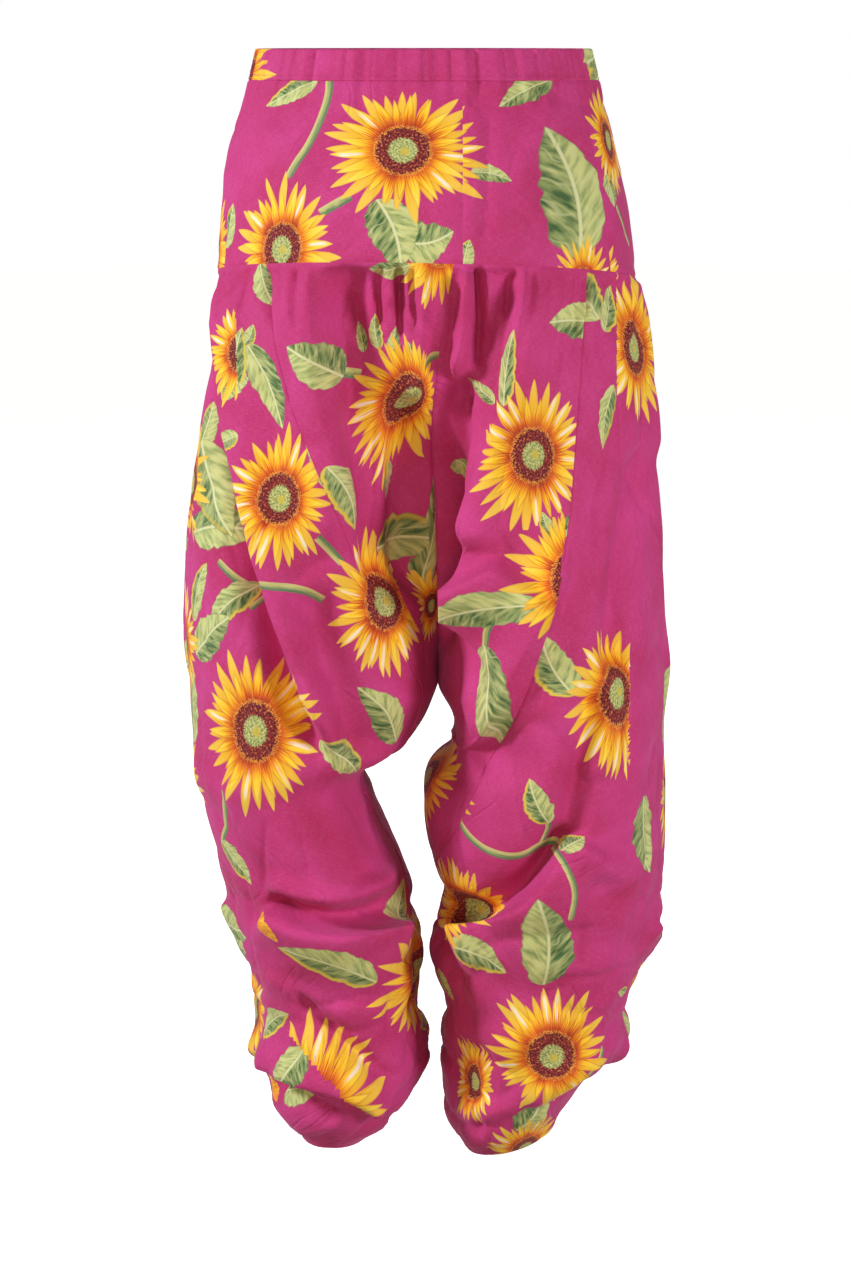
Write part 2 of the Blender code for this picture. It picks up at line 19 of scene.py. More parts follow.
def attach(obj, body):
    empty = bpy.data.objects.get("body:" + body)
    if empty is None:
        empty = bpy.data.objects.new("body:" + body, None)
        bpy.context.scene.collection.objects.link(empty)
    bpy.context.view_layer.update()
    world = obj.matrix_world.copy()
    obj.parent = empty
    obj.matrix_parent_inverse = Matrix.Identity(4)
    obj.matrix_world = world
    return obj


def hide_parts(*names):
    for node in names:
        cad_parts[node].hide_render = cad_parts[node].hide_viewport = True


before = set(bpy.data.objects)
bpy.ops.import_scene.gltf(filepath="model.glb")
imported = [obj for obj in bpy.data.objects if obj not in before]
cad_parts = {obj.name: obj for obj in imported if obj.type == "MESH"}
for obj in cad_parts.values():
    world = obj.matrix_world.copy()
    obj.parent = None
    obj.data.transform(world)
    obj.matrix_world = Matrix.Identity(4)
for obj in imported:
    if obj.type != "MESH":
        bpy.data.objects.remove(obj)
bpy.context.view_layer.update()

# ---------------------------------------------------------------- sizes, as in the CAD source
CASING_DEPTH = 0.028
YOKE_SEAM_Z = -0.205        # the yoke seam at the wearer's sides
YOKE_SEAM_LIFT = 0.019
YOKE_SEAM_SLOPE = -0.018
HEM_Z = -1.004
CROTCH_Z = -0.583
GUSSET_TIP_Z = -0.765
GUSSET_TIP_HALF = 0.006
BACK_JOIN_X = 0.034
LEFT_SIDE_TURN = -72
RIGHT_SIDE_TURN = 58
BACK_REACH = 0.15
WARP_REACH = 0.11
ROUNDNESS = 2.25
SEAM_SAMPLES = 241

Hip = namedtuple("Hip", "z left right back front")
HIP_SECTIONS = [
    Hip(0.000, -0.152, 0.151, -0.098, 0.098),
    Hip(-0.028, -0.159, 0.158, -0.104, 0.103),
    Hip(-0.060, -0.170, 0.168, -0.115, 0.109),
    Hip(-0.092, -0.179, 0.176, -0.127, 0.114),
    Hip(-0.137, -0.185, 0.185, -0.140, 0.118),
    Hip(-0.170, -0.187, 0.190, -0.146, 0.120),
    Hip(-0.205, -0.190, 0.194, -0.150, 0.122),
    Hip(-0.230, -0.194, 0.199, -0.152, 0.125),
]
Centre = namedtuple("Centre", "z x")
CENTRE_SEAM = [
    Centre(-0.205, 0.026),
    Centre(-0.250, 0.017),
    Centre(-0.320, 0.007),
    Centre(-0.420, 0.010),
    Centre(-0.520, 0.0125),
    Centre(-0.583, 0.0125),
]
Leg = namedtuple("Leg", "z outer inner back front closing")
LEFT_LEG = [
    Leg(-0.205, -0.190, 0.026, -0.150, 0.122, 0.00),
    Leg(-0.250, -0.195, 0.017, -0.155, 0.128, 0.14),
    Leg(-0.320, -0.204, 0.007, -0.161, 0.137, 0.36),
    Leg(-0.420, -0.218, 0.010, -0.165, 0.147, 0.55),
    Leg(-0.520, -0.223, 0.0125, -0.166, 0.152, 0.76),
    Leg(-0.583, -0.220, 0.0125, -0.163, 0.152, 1.00),
    Leg(-0.615, -0.219, -0.002, -0.160, 0.151, 1.00),
    Leg(-0.640, -0.218, -0.021, -0.157, 0.150, 1.00),
    Leg(-0.658, -0.217, -0.052, -0.155, 0.149, 1.00),
    Leg(-0.690, -0.207, -0.047, -0.151, 0.146, 1.00),
    Leg(-0.755, -0.191, -0.019, -0.144, 0.139, 1.00),
    Leg(-0.812, -0.180, -0.004, -0.138, 0.130, 1.00),
    Leg(-0.890, -0.162, -0.001, -0.130, 0.117, 1.00),
    Leg(-0.945, -0.157, 0.001, -0.126, 0.103, 1.00),
    Leg(-0.975, -0.143, -0.012, -0.116, 0.082, 1.00),
    Leg(-1.004, -0.117, -0.052, -0.092, 0.030, 1.00),
]
RIGHT_LEG = [
    Leg(-0.205, 0.194, 0.026, -0.150, 0.122, 0.00),
    Leg(-0.250, 0.203, 0.017, -0.155, 0.128, 0.14),
    Leg(-0.320, 0.210, 0.007, -0.161, 0.137, 0.36),
    Leg(-0.420, 0.213, 0.010, -0.165, 0.147, 0.55),
    Leg(-0.520, 0.219, 0.0125, -0.166, 0.152, 0.76),
    Leg(-0.583, 0.223, 0.0125, -0.163, 0.152, 1.00),
    Leg(-0.637, 0.224, 0.032, -0.159, 0.151, 1.00),
    Leg(-0.660, 0.225, 0.006, -0.156, 0.150, 1.00),
    Leg(-0.695, 0.225, 0.000, -0.152, 0.148, 1.00),
    Leg(-0.755, 0.225, 0.009, -0.146, 0.143, 1.00),
    Leg(-0.782, 0.223, 0.014, -0.143, 0.139, 1.00),
    Leg(-0.822, 0.215, 0.005, -0.139, 0.135, 1.00),
    Leg(-0.890, 0.192, 0.015, -0.133, 0.126, 1.00),
    Leg(-0.940, 0.186, 0.017, -0.127, 0.114, 1.00),
    Leg(-0.960, 0.160, 0.014, -0.120, 0.104, 1.00),
    Leg(-0.976, 0.140, 0.018, -0.110, 0.090, 1.00),
    Leg(-1.004, 0.126, 0.036, -0.086, 0.060, 1.00),
]
SIDES = {"left": (-1, LEFT_LEG), "right": (1, RIGHT_LEG)}
HemSlant = namedtuple("HemSlant", "rise_x rise_y level_x level_y")
HEM_SLANTS = {"left": HemSlant(0.0, 0.06, 0.0, -0.03), "right": HemSlant(0.28, 0.10, 0.085, -0.01)}
Seam = namedtuple("Seam", "z back front")
SEAMS = {
    "left": [
        Seam(-0.205, -0.142, -0.138),
        Seam(-0.320, -0.113, -0.112),
        Seam(-0.420, -0.075, -0.078),
        Seam(-0.500, -0.036, -0.044),
        Seam(-0.570, -0.003, -0.012),
    ],
    "right": [
        Seam(-0.205, 0.146, 0.142),
        Seam(-0.320, 0.136, 0.128),
        Seam(-0.420, 0.128, 0.112),
        Seam(-0.500, 0.114, 0.092),
        Seam(-0.580, 0.086, 0.066),
        Seam(-0.650, 0.052, 0.042),
        Seam(-0.720, 0.020, 0.018),
    ],
}

# ---------------------------------------------------------------- cloth
CLOTH = 0.0007              # thickness of the shown cloth
CASING_CLOTH = 0.003        # the casing is folded over
STEP = 0.003                # reach of the differences that give a normal
SHARE_STEP = 0.003          # the same along the ring
SEAM_DIP = 0.0009           # how deep a seam lies in the cloth
YOKE_CALM = 0.011           # folds start this far below the yoke seam
HEM_CALM = 0.013
CENTRE_CALM = 0.025         # share of the ring beside the centre seam where folds die away
FOLD_FADE = 0.14
FACE_FADE = 0.03
OUTER_FACE_X = 0.11
FOLD_MARGIN = 2.6           # a fold is worked out this many of its reaches round its line
BACK_DENSITY = 0.3          # how much closer the columns of a panel lie at the back
PANEL_COLUMNS = 196
WING_COLUMNS = 108
DENSE_END_Z = -0.262        # the rows lie closest above this, where the gathers are
LEG_ROWS = np.concatenate([
    np.linspace(YOKE_SEAM_Z, DENSE_END_Z, 22, endpoint=False),
    np.linspace(DENSE_END_Z, CROTCH_Z, 86, endpoint=False),
    np.linspace(CROTCH_Z, GUSSET_TIP_Z, 50, endpoint=False),
    np.linspace(GUSSET_TIP_Z, HEM_Z, 74),
])
CROTCH_ROW = int(np.argmin(abs(LEG_ROWS - CROTCH_Z)))
TIP_ROW = int(np.argmin(abs(LEG_ROWS - GUSSET_TIP_Z)))
YOKE_ROWS = 70
CASING_COLUMNS = 720
CASING_STITCH_Z = -0.024    # the stitches of the casing lie in a shallow dip round this height
CASING_STITCH_ROW = 20      # the point of the casing's profile where they run
HEM_STITCH_ROW = -5         # the row of a leg panel where the hem's stitches run

# A fold runs through its places, (x, z) on the back or the front and (y, z) on the outer side. It
# stands out by its height, or goes in where that is negative. Its slopes reach "inner" metres
# toward the other leg or upward, and "outer" metres away from it or downward. A lean pushes the
# crest sideways, toward the outer slope where it is positive, so that the fold overhangs.
Fold = namedtuple("Fold", "face places height inner outer lean", defaults=[0.0])
LEFT_FOLDS = [
    Fold("back", [(-0.187, -0.19), (-0.183, -0.272), (-0.178, -0.334), (-0.164, -0.415)],
         -0.008, 0.006, 0.009),
    Fold("back", [(-0.178, -0.334), (-0.164, -0.415), (-0.150, -0.478), (-0.133, -0.532),
                  (-0.112, -0.582), (-0.082, -0.640)], -0.024, 0.008, 0.015),
    Fold("back", [(-0.176, -0.18), (-0.172, -0.29), (-0.163, -0.36), (-0.148, -0.43),
                  (-0.131, -0.49), (-0.112, -0.54), (-0.092, -0.59), (-0.064, -0.650)],
         0.016, 0.026, 0.008, 0.006),
    Fold("back", [(-0.107, -0.470), (-0.089, -0.532), (-0.071, -0.578), (-0.050, -0.645)],
         -0.020, 0.022, 0.011),
    Fold("back", [(-0.125, -0.20), (-0.105, -0.33), (-0.085, -0.45)], 0.012, 0.020, 0.026),
    Fold("back", [(-0.118, -0.18), (-0.104, -0.272), (-0.082, -0.350), (-0.052, -0.430)],
         0.010, 0.014, 0.012),
    Fold("back", [(-0.088, -0.18), (-0.070, -0.272), (-0.060, -0.334), (-0.050, -0.397),
                  (-0.032, -0.50)], -0.028, 0.040, 0.012),
    Fold("back", [(-0.026, -0.17), (-0.018, -0.260)], -0.012, 0.004, 0.005),
    Fold("back", [(-0.004, -0.17), (-0.001, -0.26), (-0.010, -0.32)], 0.009, 0.006, 0.006),
    Fold("back", [(0.012, -0.17), (0.010, -0.25), (0.002, -0.30)], -0.008, 0.005, 0.004),
    Fold("back", [(-0.015, -0.30), (-0.008, -0.40), (0.000, -0.50)], -0.020, 0.018, 0.012),
    Fold("back", [(-0.013, -0.222), (0.010, -0.252)], -0.003, 0.003, 0.003),
    Fold("back", [(-0.072, -0.212), (-0.058, -0.244)], -0.003, 0.003, 0.003),
    Fold("back", [(-0.050, -0.18), (-0.035, -0.250)], -0.004, 0.004, 0.005),
    Fold("back", [(-0.114, -0.18), (-0.108, -0.25)], -0.003, 0.004, 0.004),
    Fold("back", [(-0.147, -0.741), (-0.113, -0.757), (-0.076, -0.761), (-0.022, -0.750)],
         0.012, 0.009, 0.010),
    Fold("back", [(-0.146, -0.760), (-0.113, -0.778), (-0.067, -0.782), (-0.012, -0.775)],
         -0.024, 0.013, 0.011),
    Fold("back", [(-0.150, -0.772), (-0.13, -0.785), (-0.113, -0.795), (-0.058, -0.803),
                  (-0.010, -0.80)], 0.024, 0.008, 0.032, -0.009),
    Fold("back", [(-0.122, -0.848), (-0.072, -0.896), (-0.024, -0.940)], -0.011, 0.006, 0.009),
    Fold("back", [(-0.150, -0.835), (-0.100, -0.862), (-0.030, -0.872)], 0.006, 0.010, 0.018),
    Fold("back", [(-0.130, -0.888), (-0.090, -0.905), (-0.050, -0.925)], 0.006, 0.008, 0.006),
    Fold("back", [(-0.160, -0.918), (-0.123, -0.927), (-0.086, -0.934), (-0.059, -0.946),
                  (-0.036, -0.975)], 0.018, 0.022, 0.006, 0.006),
    Fold("back", [(-0.150, -0.950), (-0.110, -0.956), (-0.075, -0.972)], -0.014, 0.006, 0.012),
    Fold("back", [(-0.144, -0.685), (-0.148, -0.765)], -0.0025, 0.003, 0.003),
    Fold("outer", [(-0.010, -0.18), (0.000, -0.450), (-0.020, -0.700)], -0.008, 0.024, 0.018),
    Fold("outer", [(0.050, -0.18), (0.055, -0.400), (0.030, -0.620)], 0.008, 0.012, 0.020),
    Fold("outer", [(-0.060, -0.180), (-0.075, -0.320), (-0.080, -0.450)], 0.006, 0.010, 0.010),
    Fold("outer", [(-0.040, -0.790), (0.000, -0.810), (0.070, -0.800)], 0.006, 0.008, 0.024, -0.004),
    Fold("outer", [(-0.070, -0.920), (0.000, -0.935), (0.060, -0.915)], 0.007, 0.014, 0.008),
    Fold("front", [(-0.135, -0.18), (-0.125, -0.400), (-0.100, -0.600), (-0.075, -0.760)],
         0.012, 0.024, 0.008, 0.005),
    Fold("front", [(-0.155, -0.18), (-0.148, -0.380), (-0.125, -0.600)], -0.010, 0.010, 0.020),
    Fold("front", [(-0.095, -0.18), (-0.080, -0.380), (-0.055, -0.550)], -0.012, 0.022, 0.012),
    Fold("front", [(-0.045, -0.18), (-0.040, -0.360), (-0.025, -0.480)], 0.011, 0.010, 0.014),
    Fold("front", [(-0.020, -0.18), (-0.018, -0.300)], -0.007, 0.005, 0.006),
    Fold("front", [(-0.165, -0.800), (-0.100, -0.835), (-0.030, -0.825)], 0.013, 0.008, 0.028, -0.005),
    Fold("front", [(-0.160, -0.775), (-0.100, -0.805), (-0.030, -0.795)], -0.009, 0.012, 0.010),
    Fold("front", [(-0.140, -0.920), (-0.090, -0.940), (-0.040, -0.925)], 0.008, 0.018, 0.007),
]
RIGHT_FOLDS = [
    Fold("back", [(0.033, -0.175), (0.039, -0.219), (0.036, -0.254), (0.027, -0.285),
                  (0.020, -0.320)], 0.015, 0.006, 0.007),
    Fold("back", [(0.022, -0.17), (0.024, -0.24), (0.015, -0.29)], -0.008, 0.004, 0.004),
    Fold("back", [(0.046, -0.17), (0.047, -0.225), (0.043, -0.285)], -0.012, 0.004, 0.006),
    Fold("back", [(0.056, -0.18), (0.056, -0.245)], 0.004, 0.005, 0.005),
    Fold("back", [(0.070, -0.18), (0.066, -0.230)], -0.003, 0.003, 0.004),
    Fold("back", [(0.016, -0.305), (0.026, -0.352), (0.044, -0.397), (0.070, -0.445)],
         0.015, 0.010, 0.018, -0.004),
    Fold("back", [(0.026, -0.27), (0.030, -0.36), (0.029, -0.43), (0.018, -0.49), (0.004, -0.55)],
         -0.034, 0.022, 0.012),
    Fold("back", [(0.092, -0.18), (0.085, -0.254), (0.076, -0.303), (0.068, -0.338),
                  (0.058, -0.370), (0.057, -0.406), (0.056, -0.439), (0.045, -0.469),
                  (0.027, -0.491), (-0.004, -0.512)], 0.020, 0.011, 0.032, -0.005),
    Fold("back", [(0.085, -0.452), (0.055, -0.478), (0.022, -0.500)], 0.026, 0.010, 0.050),
    Fold("back", [(0.080, -0.18), (0.078, -0.263), (0.069, -0.306), (0.060, -0.343),
                  (0.050, -0.379), (0.048, -0.430)], -0.008, 0.008, 0.007),
    Fold("back", [(0.200, -0.350), (0.185, -0.433), (0.177, -0.487), (0.171, -0.560)],
         -0.018, 0.014, 0.012),
    Fold("back", [(0.156, -0.550), (0.140, -0.632), (0.128, -0.697), (0.121, -0.760)],
         -0.015, 0.012, 0.014),
    Fold("back", [(0.130, -0.435), (0.111, -0.498), (0.098, -0.523), (0.075, -0.570),
                  (0.050, -0.623), (0.038, -0.665)], 0.016, 0.022, 0.006),
    Fold("back", [(0.018, -0.812), (0.059, -0.796), (0.087, -0.775), (0.109, -0.752),
                  (0.142, -0.696)], 0.027, 0.008, 0.032, -0.010),
    Fold("back", [(0.018, -0.792), (0.050, -0.780), (0.077, -0.761), (0.109, -0.726),
                  (0.130, -0.690)], -0.025, 0.017, 0.009),
    Fold("back", [(0.150, -0.728), (0.200, -0.748)], 0.005, 0.010, 0.010),
    Fold("back", [(0.012, -0.800), (0.023, -0.854), (0.040, -0.892), (0.053, -0.929),
                  (0.060, -0.970)], -0.007, 0.008, 0.012),
    Fold("back", [(0.042, -0.935), (0.048, -1.000)], -0.005, 0.005, 0.005),
    Fold("back", [(0.185, -0.900), (0.140, -0.930), (0.090, -0.962)], 0.006, 0.016, 0.008),
    Fold("back", [(0.172, -0.19), (0.176, -0.400), (0.188, -0.600), (0.182, -0.745),
                  (0.176, -0.900)], -0.0012, 0.002, 0.002),
    Fold("outer", [(0.020, -0.18), (0.030, -0.450), (0.010, -0.700)], -0.008, 0.018, 0.024),
    Fold("outer", [(-0.040, -0.18), (-0.050, -0.400), (-0.030, -0.620)], 0.007, 0.020, 0.010),
    Fold("outer", [(0.070, -0.18), (0.080, -0.350), (0.080, -0.480)], 0.006, 0.010, 0.012),
    Fold("outer", [(-0.080, -0.800), (0.000, -0.835), (0.070, -0.820)], 0.011, 0.008, 0.026, -0.004),
    Fold("outer", [(-0.070, -0.930), (0.000, -0.945), (0.060, -0.925)], 0.007, 0.014, 0.008),
    Fold("front", [(0.125, -0.18), (0.130, -0.420), (0.105, -0.620), (0.085, -0.780)],
         0.012, 0.024, 0.008, 0.005),
    Fold("front", [(0.150, -0.18), (0.155, -0.400), (0.135, -0.620)], -0.010, 0.010, 0.020),
    Fold("front", [(0.085, -0.18), (0.085, -0.400), (0.055, -0.560)], -0.012, 0.022, 0.012),
    Fold("front", [(0.050, -0.18), (0.045, -0.360), (0.030, -0.500)], 0.011, 0.010, 0.014),
    Fold("front", [(0.022, -0.18), (0.020, -0.300)], -0.007, 0.005, 0.006),
    Fold("front", [(0.040, -0.830), (0.110, -0.850), (0.175, -0.800)], 0.013, 0.008, 0.028, -0.005),
    Fold("front", [(0.040, -0.800), (0.110, -0.820), (0.175, -0.775)], -0.009, 0.012, 0.010),
    Fold("front", [(0.050, -0.935), (0.100, -0.950), (0.160, -0.920)], 0.008, 0.018, 0.007),
]
LEG_FOLDS = {"left": LEFT_FOLDS, "right": RIGHT_FOLDS}
YOKE_FOLDS = [
    Fold("back", [(0.036, -0.020), (0.042, -0.052)], -0.002, 0.003, 0.003),
    Fold("back", [(0.058, -0.050), (0.052, -0.175)], -0.0025, 0.006, 0.008),
    Fold("back", [(0.022, -0.150), (0.085, -0.160)], -0.0012, 0.003, 0.003),
    Fold("back", [(-0.060, -0.028), (-0.052, -0.070)], -0.002, 0.005, 0.005),
    Fold("back", [(-0.150, -0.060), (-0.060, -0.150)], 0.003, 0.010, 0.014),
    Fold("back", [(-0.170, -0.110), (-0.080, -0.190)], -0.002, 0.008, 0.010),
    Fold("back", [(0.120, -0.040), (0.080, -0.120)], 0.002, 0.010, 0.012),
    Fold("front", [(-0.040, -0.03), (-0.020, -0.10)], -0.002, 0.005, 0.006),
    Fold("front", [(0.060, -0.03), (0.050, -0.12)], -0.002, 0.005, 0.006),
]

# Small gathers under the yoke seam, drawn at random between two places of one face.
Gathers = namedtuple("Gathers", "side face start end count length height")
GATHERS = [
    Gathers("left", "back", -0.135, -0.070, 7, 0.065, 0.0034),
    Gathers("left", "back", -0.070, 0.020, 14, 0.060, 0.0050),
    Gathers("left", "back", -0.190, -0.135, 4, 0.050, 0.0028),
    Gathers("right", "back", 0.035, 0.095, 9, 0.060, 0.0045),
    Gathers("right", "back", 0.095, 0.190, 9, 0.080, 0.0032),
    Gathers("left", "front", -0.175, 0.000, 16, 0.080, 0.0036),
    Gathers("right", "front", 0.040, 0.175, 14, 0.080, 0.0036),
    Gathers("left", "outer", -0.090, 0.090, 12, 0.060, 0.0030),
    Gathers("right", "outer", -0.090, 0.090, 12, 0.060, 0.0030),
]
GATHER_SEED = 11

# Waves of the elastic casing: how many go round and how deep they are.
Wave = namedtuple("Wave", "count depth")
WAVES = [Wave(23, 0.0007), Wave(37, 0.0008), Wave(52, 0.0006), Wave(71, 0.0004)]
WAVE_SEED = 5
WAVE_FADE = 0.034           # the casing's gathers run this far down into the yoke


# ---------------------------------------------------------------- bare form
def smooth_table(z, table, column):
    """A table's column at the heights z, as a smooth curve through its rows."""
    rows = sorted(table, key=lambda row: row.z)
    heights = np.array([row.z for row in rows])
    values = np.array([getattr(row, column) for row in rows])
    slopes = np.gradient(values, heights)
    z = np.clip(z, heights[0], heights[-1])
    left = np.clip(np.searchsorted(heights, z, side="right") - 1, 0, len(rows) - 2)
    span = heights[left + 1] - heights[left]
    t = (z - heights[left]) / span
    start = (2 * t**3 - 3 * t**2 + 1) * values[left] + (t**3 - 2 * t**2 + t) * span * slopes[left]
    end = (3 * t**2 - 2 * t**3) * values[left + 1] + (t**3 - t**2) * span * slopes[left + 1]
    return start + end


def signed_power(value, exponent):
    """A power of the value's size, with the value's own sign."""
    return np.sign(value) * np.abs(value) ** exponent


def smooth_step(value):
    """0 up to 0, 1 from 1 on, and smooth between."""
    value = np.clip(value, 0.0, 1.0)
    return value * value * (3 - 2 * value)


def unit(vectors):
    """The vectors at length 1."""
    return vectors / np.maximum(np.linalg.norm(vectors, axis=-1, keepdims=True), 1e-12)


def centre_seam(z):
    """The x of the centre seam at a height."""
    return smooth_table(z, CENTRE_SEAM, "x")


def yoke_seam_height(x, y):
    """The height of the yoke seam, which lifts toward the back and slopes to one side."""
    lift = YOKE_SEAM_LIFT * np.clip(-y / BACK_REACH, 0.0, 1.0)
    return YOKE_SEAM_Z + lift + YOKE_SEAM_SLOPE * x


def hip_point(angle, z):
    """The hip ring; the angle runs from the centre back over the wearer's right side."""
    left, right = smooth_table(z, HIP_SECTIONS, "left"), smooth_table(z, HIP_SECTIONS, "right")
    back, front = smooth_table(z, HIP_SECTIONS, "back"), smooth_table(z, HIP_SECTIONS, "front")
    x = (left + right) / 2 + (right - left) / 2 * signed_power(np.sin(angle), 2 / ROUNDNESS)
    toward_back = signed_power(np.cos(angle), 2 / ROUNDNESS)
    return x, np.where(toward_back > 0, back * toward_back, -front * toward_back)


def leg_ring(side, share, z):
    """A point of the bare leg section; share 0 is the centre back, 1 the centre front."""
    sign, table = SIDES[side]
    outer, inner, back, front, closing = [
        smooth_table(z, table, name) for name in ("outer", "inner", "back", "front", "closing")]
    closing = np.where(z > CROTCH_Z, np.clip(closing, 0.0, 1.0), 1.0)
    inner = np.where(z > CROTCH_Z, centre_seam(z), inner)
    middle = (smooth_table(z, LEFT_LEG, "outer") + smooth_table(z, RIGHT_LEG, "outer")) / 2
    half = np.abs(outer - middle)
    start = np.arcsin(signed_power(sign * (inner - middle) / half, ROUNDNESS / 2))
    open_angle = start + share * (math.pi - 2 * start)
    open_x = middle + sign * half * signed_power(np.sin(open_angle), 2 / ROUNDNESS)
    reach = signed_power(np.cos(open_angle), 2 / ROUNDNESS)
    open_y = np.where(reach > 0, back * reach, -front * reach)
    closed_angle = share * 2 * math.pi
    closed_x = (inner + outer) / 2
    closed_x = closed_x - (outer - inner) / 2 * signed_power(np.cos(closed_angle), 2 / ROUNDNESS)
    reach = signed_power(np.sin(closed_angle), 2 / ROUNDNESS)
    closed_y = (back + front) / 2 - (front - back) / 2 * reach
    return (1 - closing) * open_x + closing * closed_x, (1 - closing) * open_y + closing * closed_y


def leg_base(side, share, z):
    """The leg without folds, with its slanted upper edge and hem."""
    x, y = leg_ring(side, share, z)
    top = smooth_step(1 - (YOKE_SEAM_Z - z) / WARP_REACH)
    lifted = z + top * (yoke_seam_height(x, y) - YOKE_SEAM_Z)
    foot = smooth_step(1 - (z - HEM_Z) / WARP_REACH)
    slant = HEM_SLANTS[side]
    rise = slant.rise_x * (x - slant.level_x) + slant.rise_y * (y - slant.level_y)
    return np.stack([x, y, lifted + foot * rise], axis=-1)


def yoke_base(angle, share):
    """The yoke without folds: share 0 is its edge at the casing and 1 the yoke seam."""
    level = -CASING_DEPTH + share * (YOKE_SEAM_Z + CASING_DEPTH)
    x, y = hip_point(angle, level)
    height = -CASING_DEPTH + share * (yoke_seam_height(x, y) + CASING_DEPTH)
    return np.stack([x, y, height], axis=-1)


def share_at(side, face, x, z):
    """The ring share whose section point has this x, on the back or the front of the leg."""
    first, last = (0.0, 0.5) if face == "back" else (0.5, 1.0)
    shares = np.linspace(first, last, SEAM_SAMPLES)
    ring_x, _ = leg_ring(side, shares, np.full_like(shares, z))
    order = np.argsort(ring_x)
    return float(np.interp(x, ring_x[order], shares[order]))


def seam_share(side, face, z):
    """Ring share of the slanted seam; below the seam table it closes in on the tip."""
    table = SEAMS[side]
    last = table[-1]
    reach = np.clip(z, last.z, table[0].z)
    x = float(smooth_table(np.array([reach]), table, face)[0])
    share = share_at(side, face, x, reach)
    if z < last.z:
        left = np.clip((z - GUSSET_TIP_Z) / (last.z - GUSSET_TIP_Z), 0.0, 1.0)
        tip = GUSSET_TIP_HALF if face == "back" else 1 - GUSSET_TIP_HALF
        share = tip + left * (share - tip)
    return share


def yoke_edge(edge, z):
    """The hip ring's angle at one of the yoke's upright edges."""
    if edge == "join":
        left, right = smooth_table(z, HIP_SECTIONS, "left"), smooth_table(z, HIP_SECTIONS, "right")
        ratio = (BACK_JOIN_X - (left + right) / 2) / ((right - left) / 2)
        return np.arcsin(signed_power(ratio, ROUNDNESS / 2))
    turn = RIGHT_SIDE_TURN if edge == "right" else LEFT_SIDE_TURN
    return np.full_like(z, math.radians(turn + 360 * (edge == "left, all round")))


# ---------------------------------------------------------------- folds
def beside_line(places, x, z, upward):
    """Distance beside a line, positive toward +x or downward, and the share along the line."""
    places = np.array(places)
    runs = np.diff(places, axis=0)
    lengths = np.linalg.norm(runs, axis=1)
    starts = np.concatenate([[0.0], np.cumsum(lengths)])
    best = np.full(x.shape, np.inf)
    across = np.zeros(x.shape)
    along = np.zeros(x.shape)
    for place, run, length, start in zip(places, runs, lengths, starts):
        share = ((x - place[0]) * run[0] + (z - place[1]) * run[1]) / length**2
        bent = np.clip(share, 0.0, 1.0)
        off_x = x - place[0] - bent * run[0]
        off_z = z - place[1] - bent * run[1]
        distance = np.hypot(off_x, off_z)
        nearer = distance < best
        best = np.where(nearer, distance, best)
        sign = np.sign(off_x) if upward else -np.sign(off_z)
        across = np.where(nearer, distance * sign, across)
        along = np.where(nearer, (start + share * length) / starts[-1], along)
    return across, along


def rounded(line):
    """A line with its corners cut twice."""
    for _ in range(2):
        first, last = line[:-1], line[1:]
        inner = np.stack([0.75 * first + 0.25 * last, 0.25 * first + 0.75 * last], axis=1)
        line = np.concatenate([line[:1], inner.reshape(-1, 2), line[-1:]])
    return line


def face_weight(face, x, y, sign):
    """How much of a fold on this face shows at each point: 1 on the face, 0 beyond it."""
    if face == "back":
        return smooth_step(0.5 - y / FACE_FADE)
    if face == "front":
        return smooth_step(0.5 + y / FACE_FADE)
    return smooth_step(0.5 + (x * sign - OUTER_FACE_X) / FACE_FADE)


def fold_push(folds, points, sign):
    """How far the folds push each point out, along x and along z."""
    out, along_x, along_z = np.zeros((3, *points.shape[:-1]))
    for fold in folds:
        first, last = fold.places[0], fold.places[-1]
        upward = abs(first[1] - last[1]) > abs(first[0] - last[0])
        spot = points[..., 1 if fold.face == "outer" else 0]
        z = points[..., 2]
        margin = FOLD_MARGIN * max(fold.inner, fold.outer)
        low, high = np.min(fold.places, axis=0) - margin, np.max(fold.places, axis=0) + margin
        near = (spot > low[0]) & (spot < high[0]) & (z > low[1]) & (z < high[1])
        if not near.any():
            continue
        x, y = points[near][:, 0], points[near][:, 1]
        line = rounded(np.array(fold.places))
        across, along = beside_line(line, spot[near], z[near], upward)
        if upward and fold.face != "outer":
            across = across * sign
        reach = np.where(across > 0, fold.outer, fold.inner)
        shape = np.exp(-(across / reach) ** 2) * face_weight(fold.face, x, y, sign)
        shape *= smooth_step(along / FOLD_FADE) * smooth_step((1 - along) / FOLD_FADE)
        out[near] += fold.height * shape
        if upward:
            along_x[near] += fold.lean * sign * shape
        else:
            along_z[near] -= fold.lean * shape
    return out, along_x, along_z


def random_gathers():
    """The small gathers under the yoke seam as folds of each leg."""
    draw = np.random.default_rng(GATHER_SEED)
    made = {"left": [], "right": []}
    for row in GATHERS:
        for place in np.linspace(row.start, row.end, row.count):
            x = place + draw.uniform(-0.4, 0.4) * abs(row.end - row.start) / row.count
            length = row.length * draw.uniform(0.5, 1.5)
            drift = draw.uniform(-0.1, 0.1) * length - 0.12 * length * np.sign(x - 0.02)
            height = row.height * draw.uniform(0.5, 1.2) * draw.choice([-1, -1, 1])
            reach = draw.uniform(0.003, 0.006)
            places = [(x, YOKE_SEAM_Z + 0.045), (x, YOKE_SEAM_Z + 0.01),
                      (x + drift, YOKE_SEAM_Z + 0.01 - length)]
            made[row.side].append(Fold(row.face, places, height, reach, reach * 1.3))
    return made


def field(points, across, upright, offset):
    """Smooth noise from -1 to 1, with about this many waves a metre across and upright."""
    scaled = points.reshape(-1, 3) * (across, across, upright) + offset
    return np.array([noise.noise(place) for place in scaled.tolist()]).reshape(points.shape[:-1])


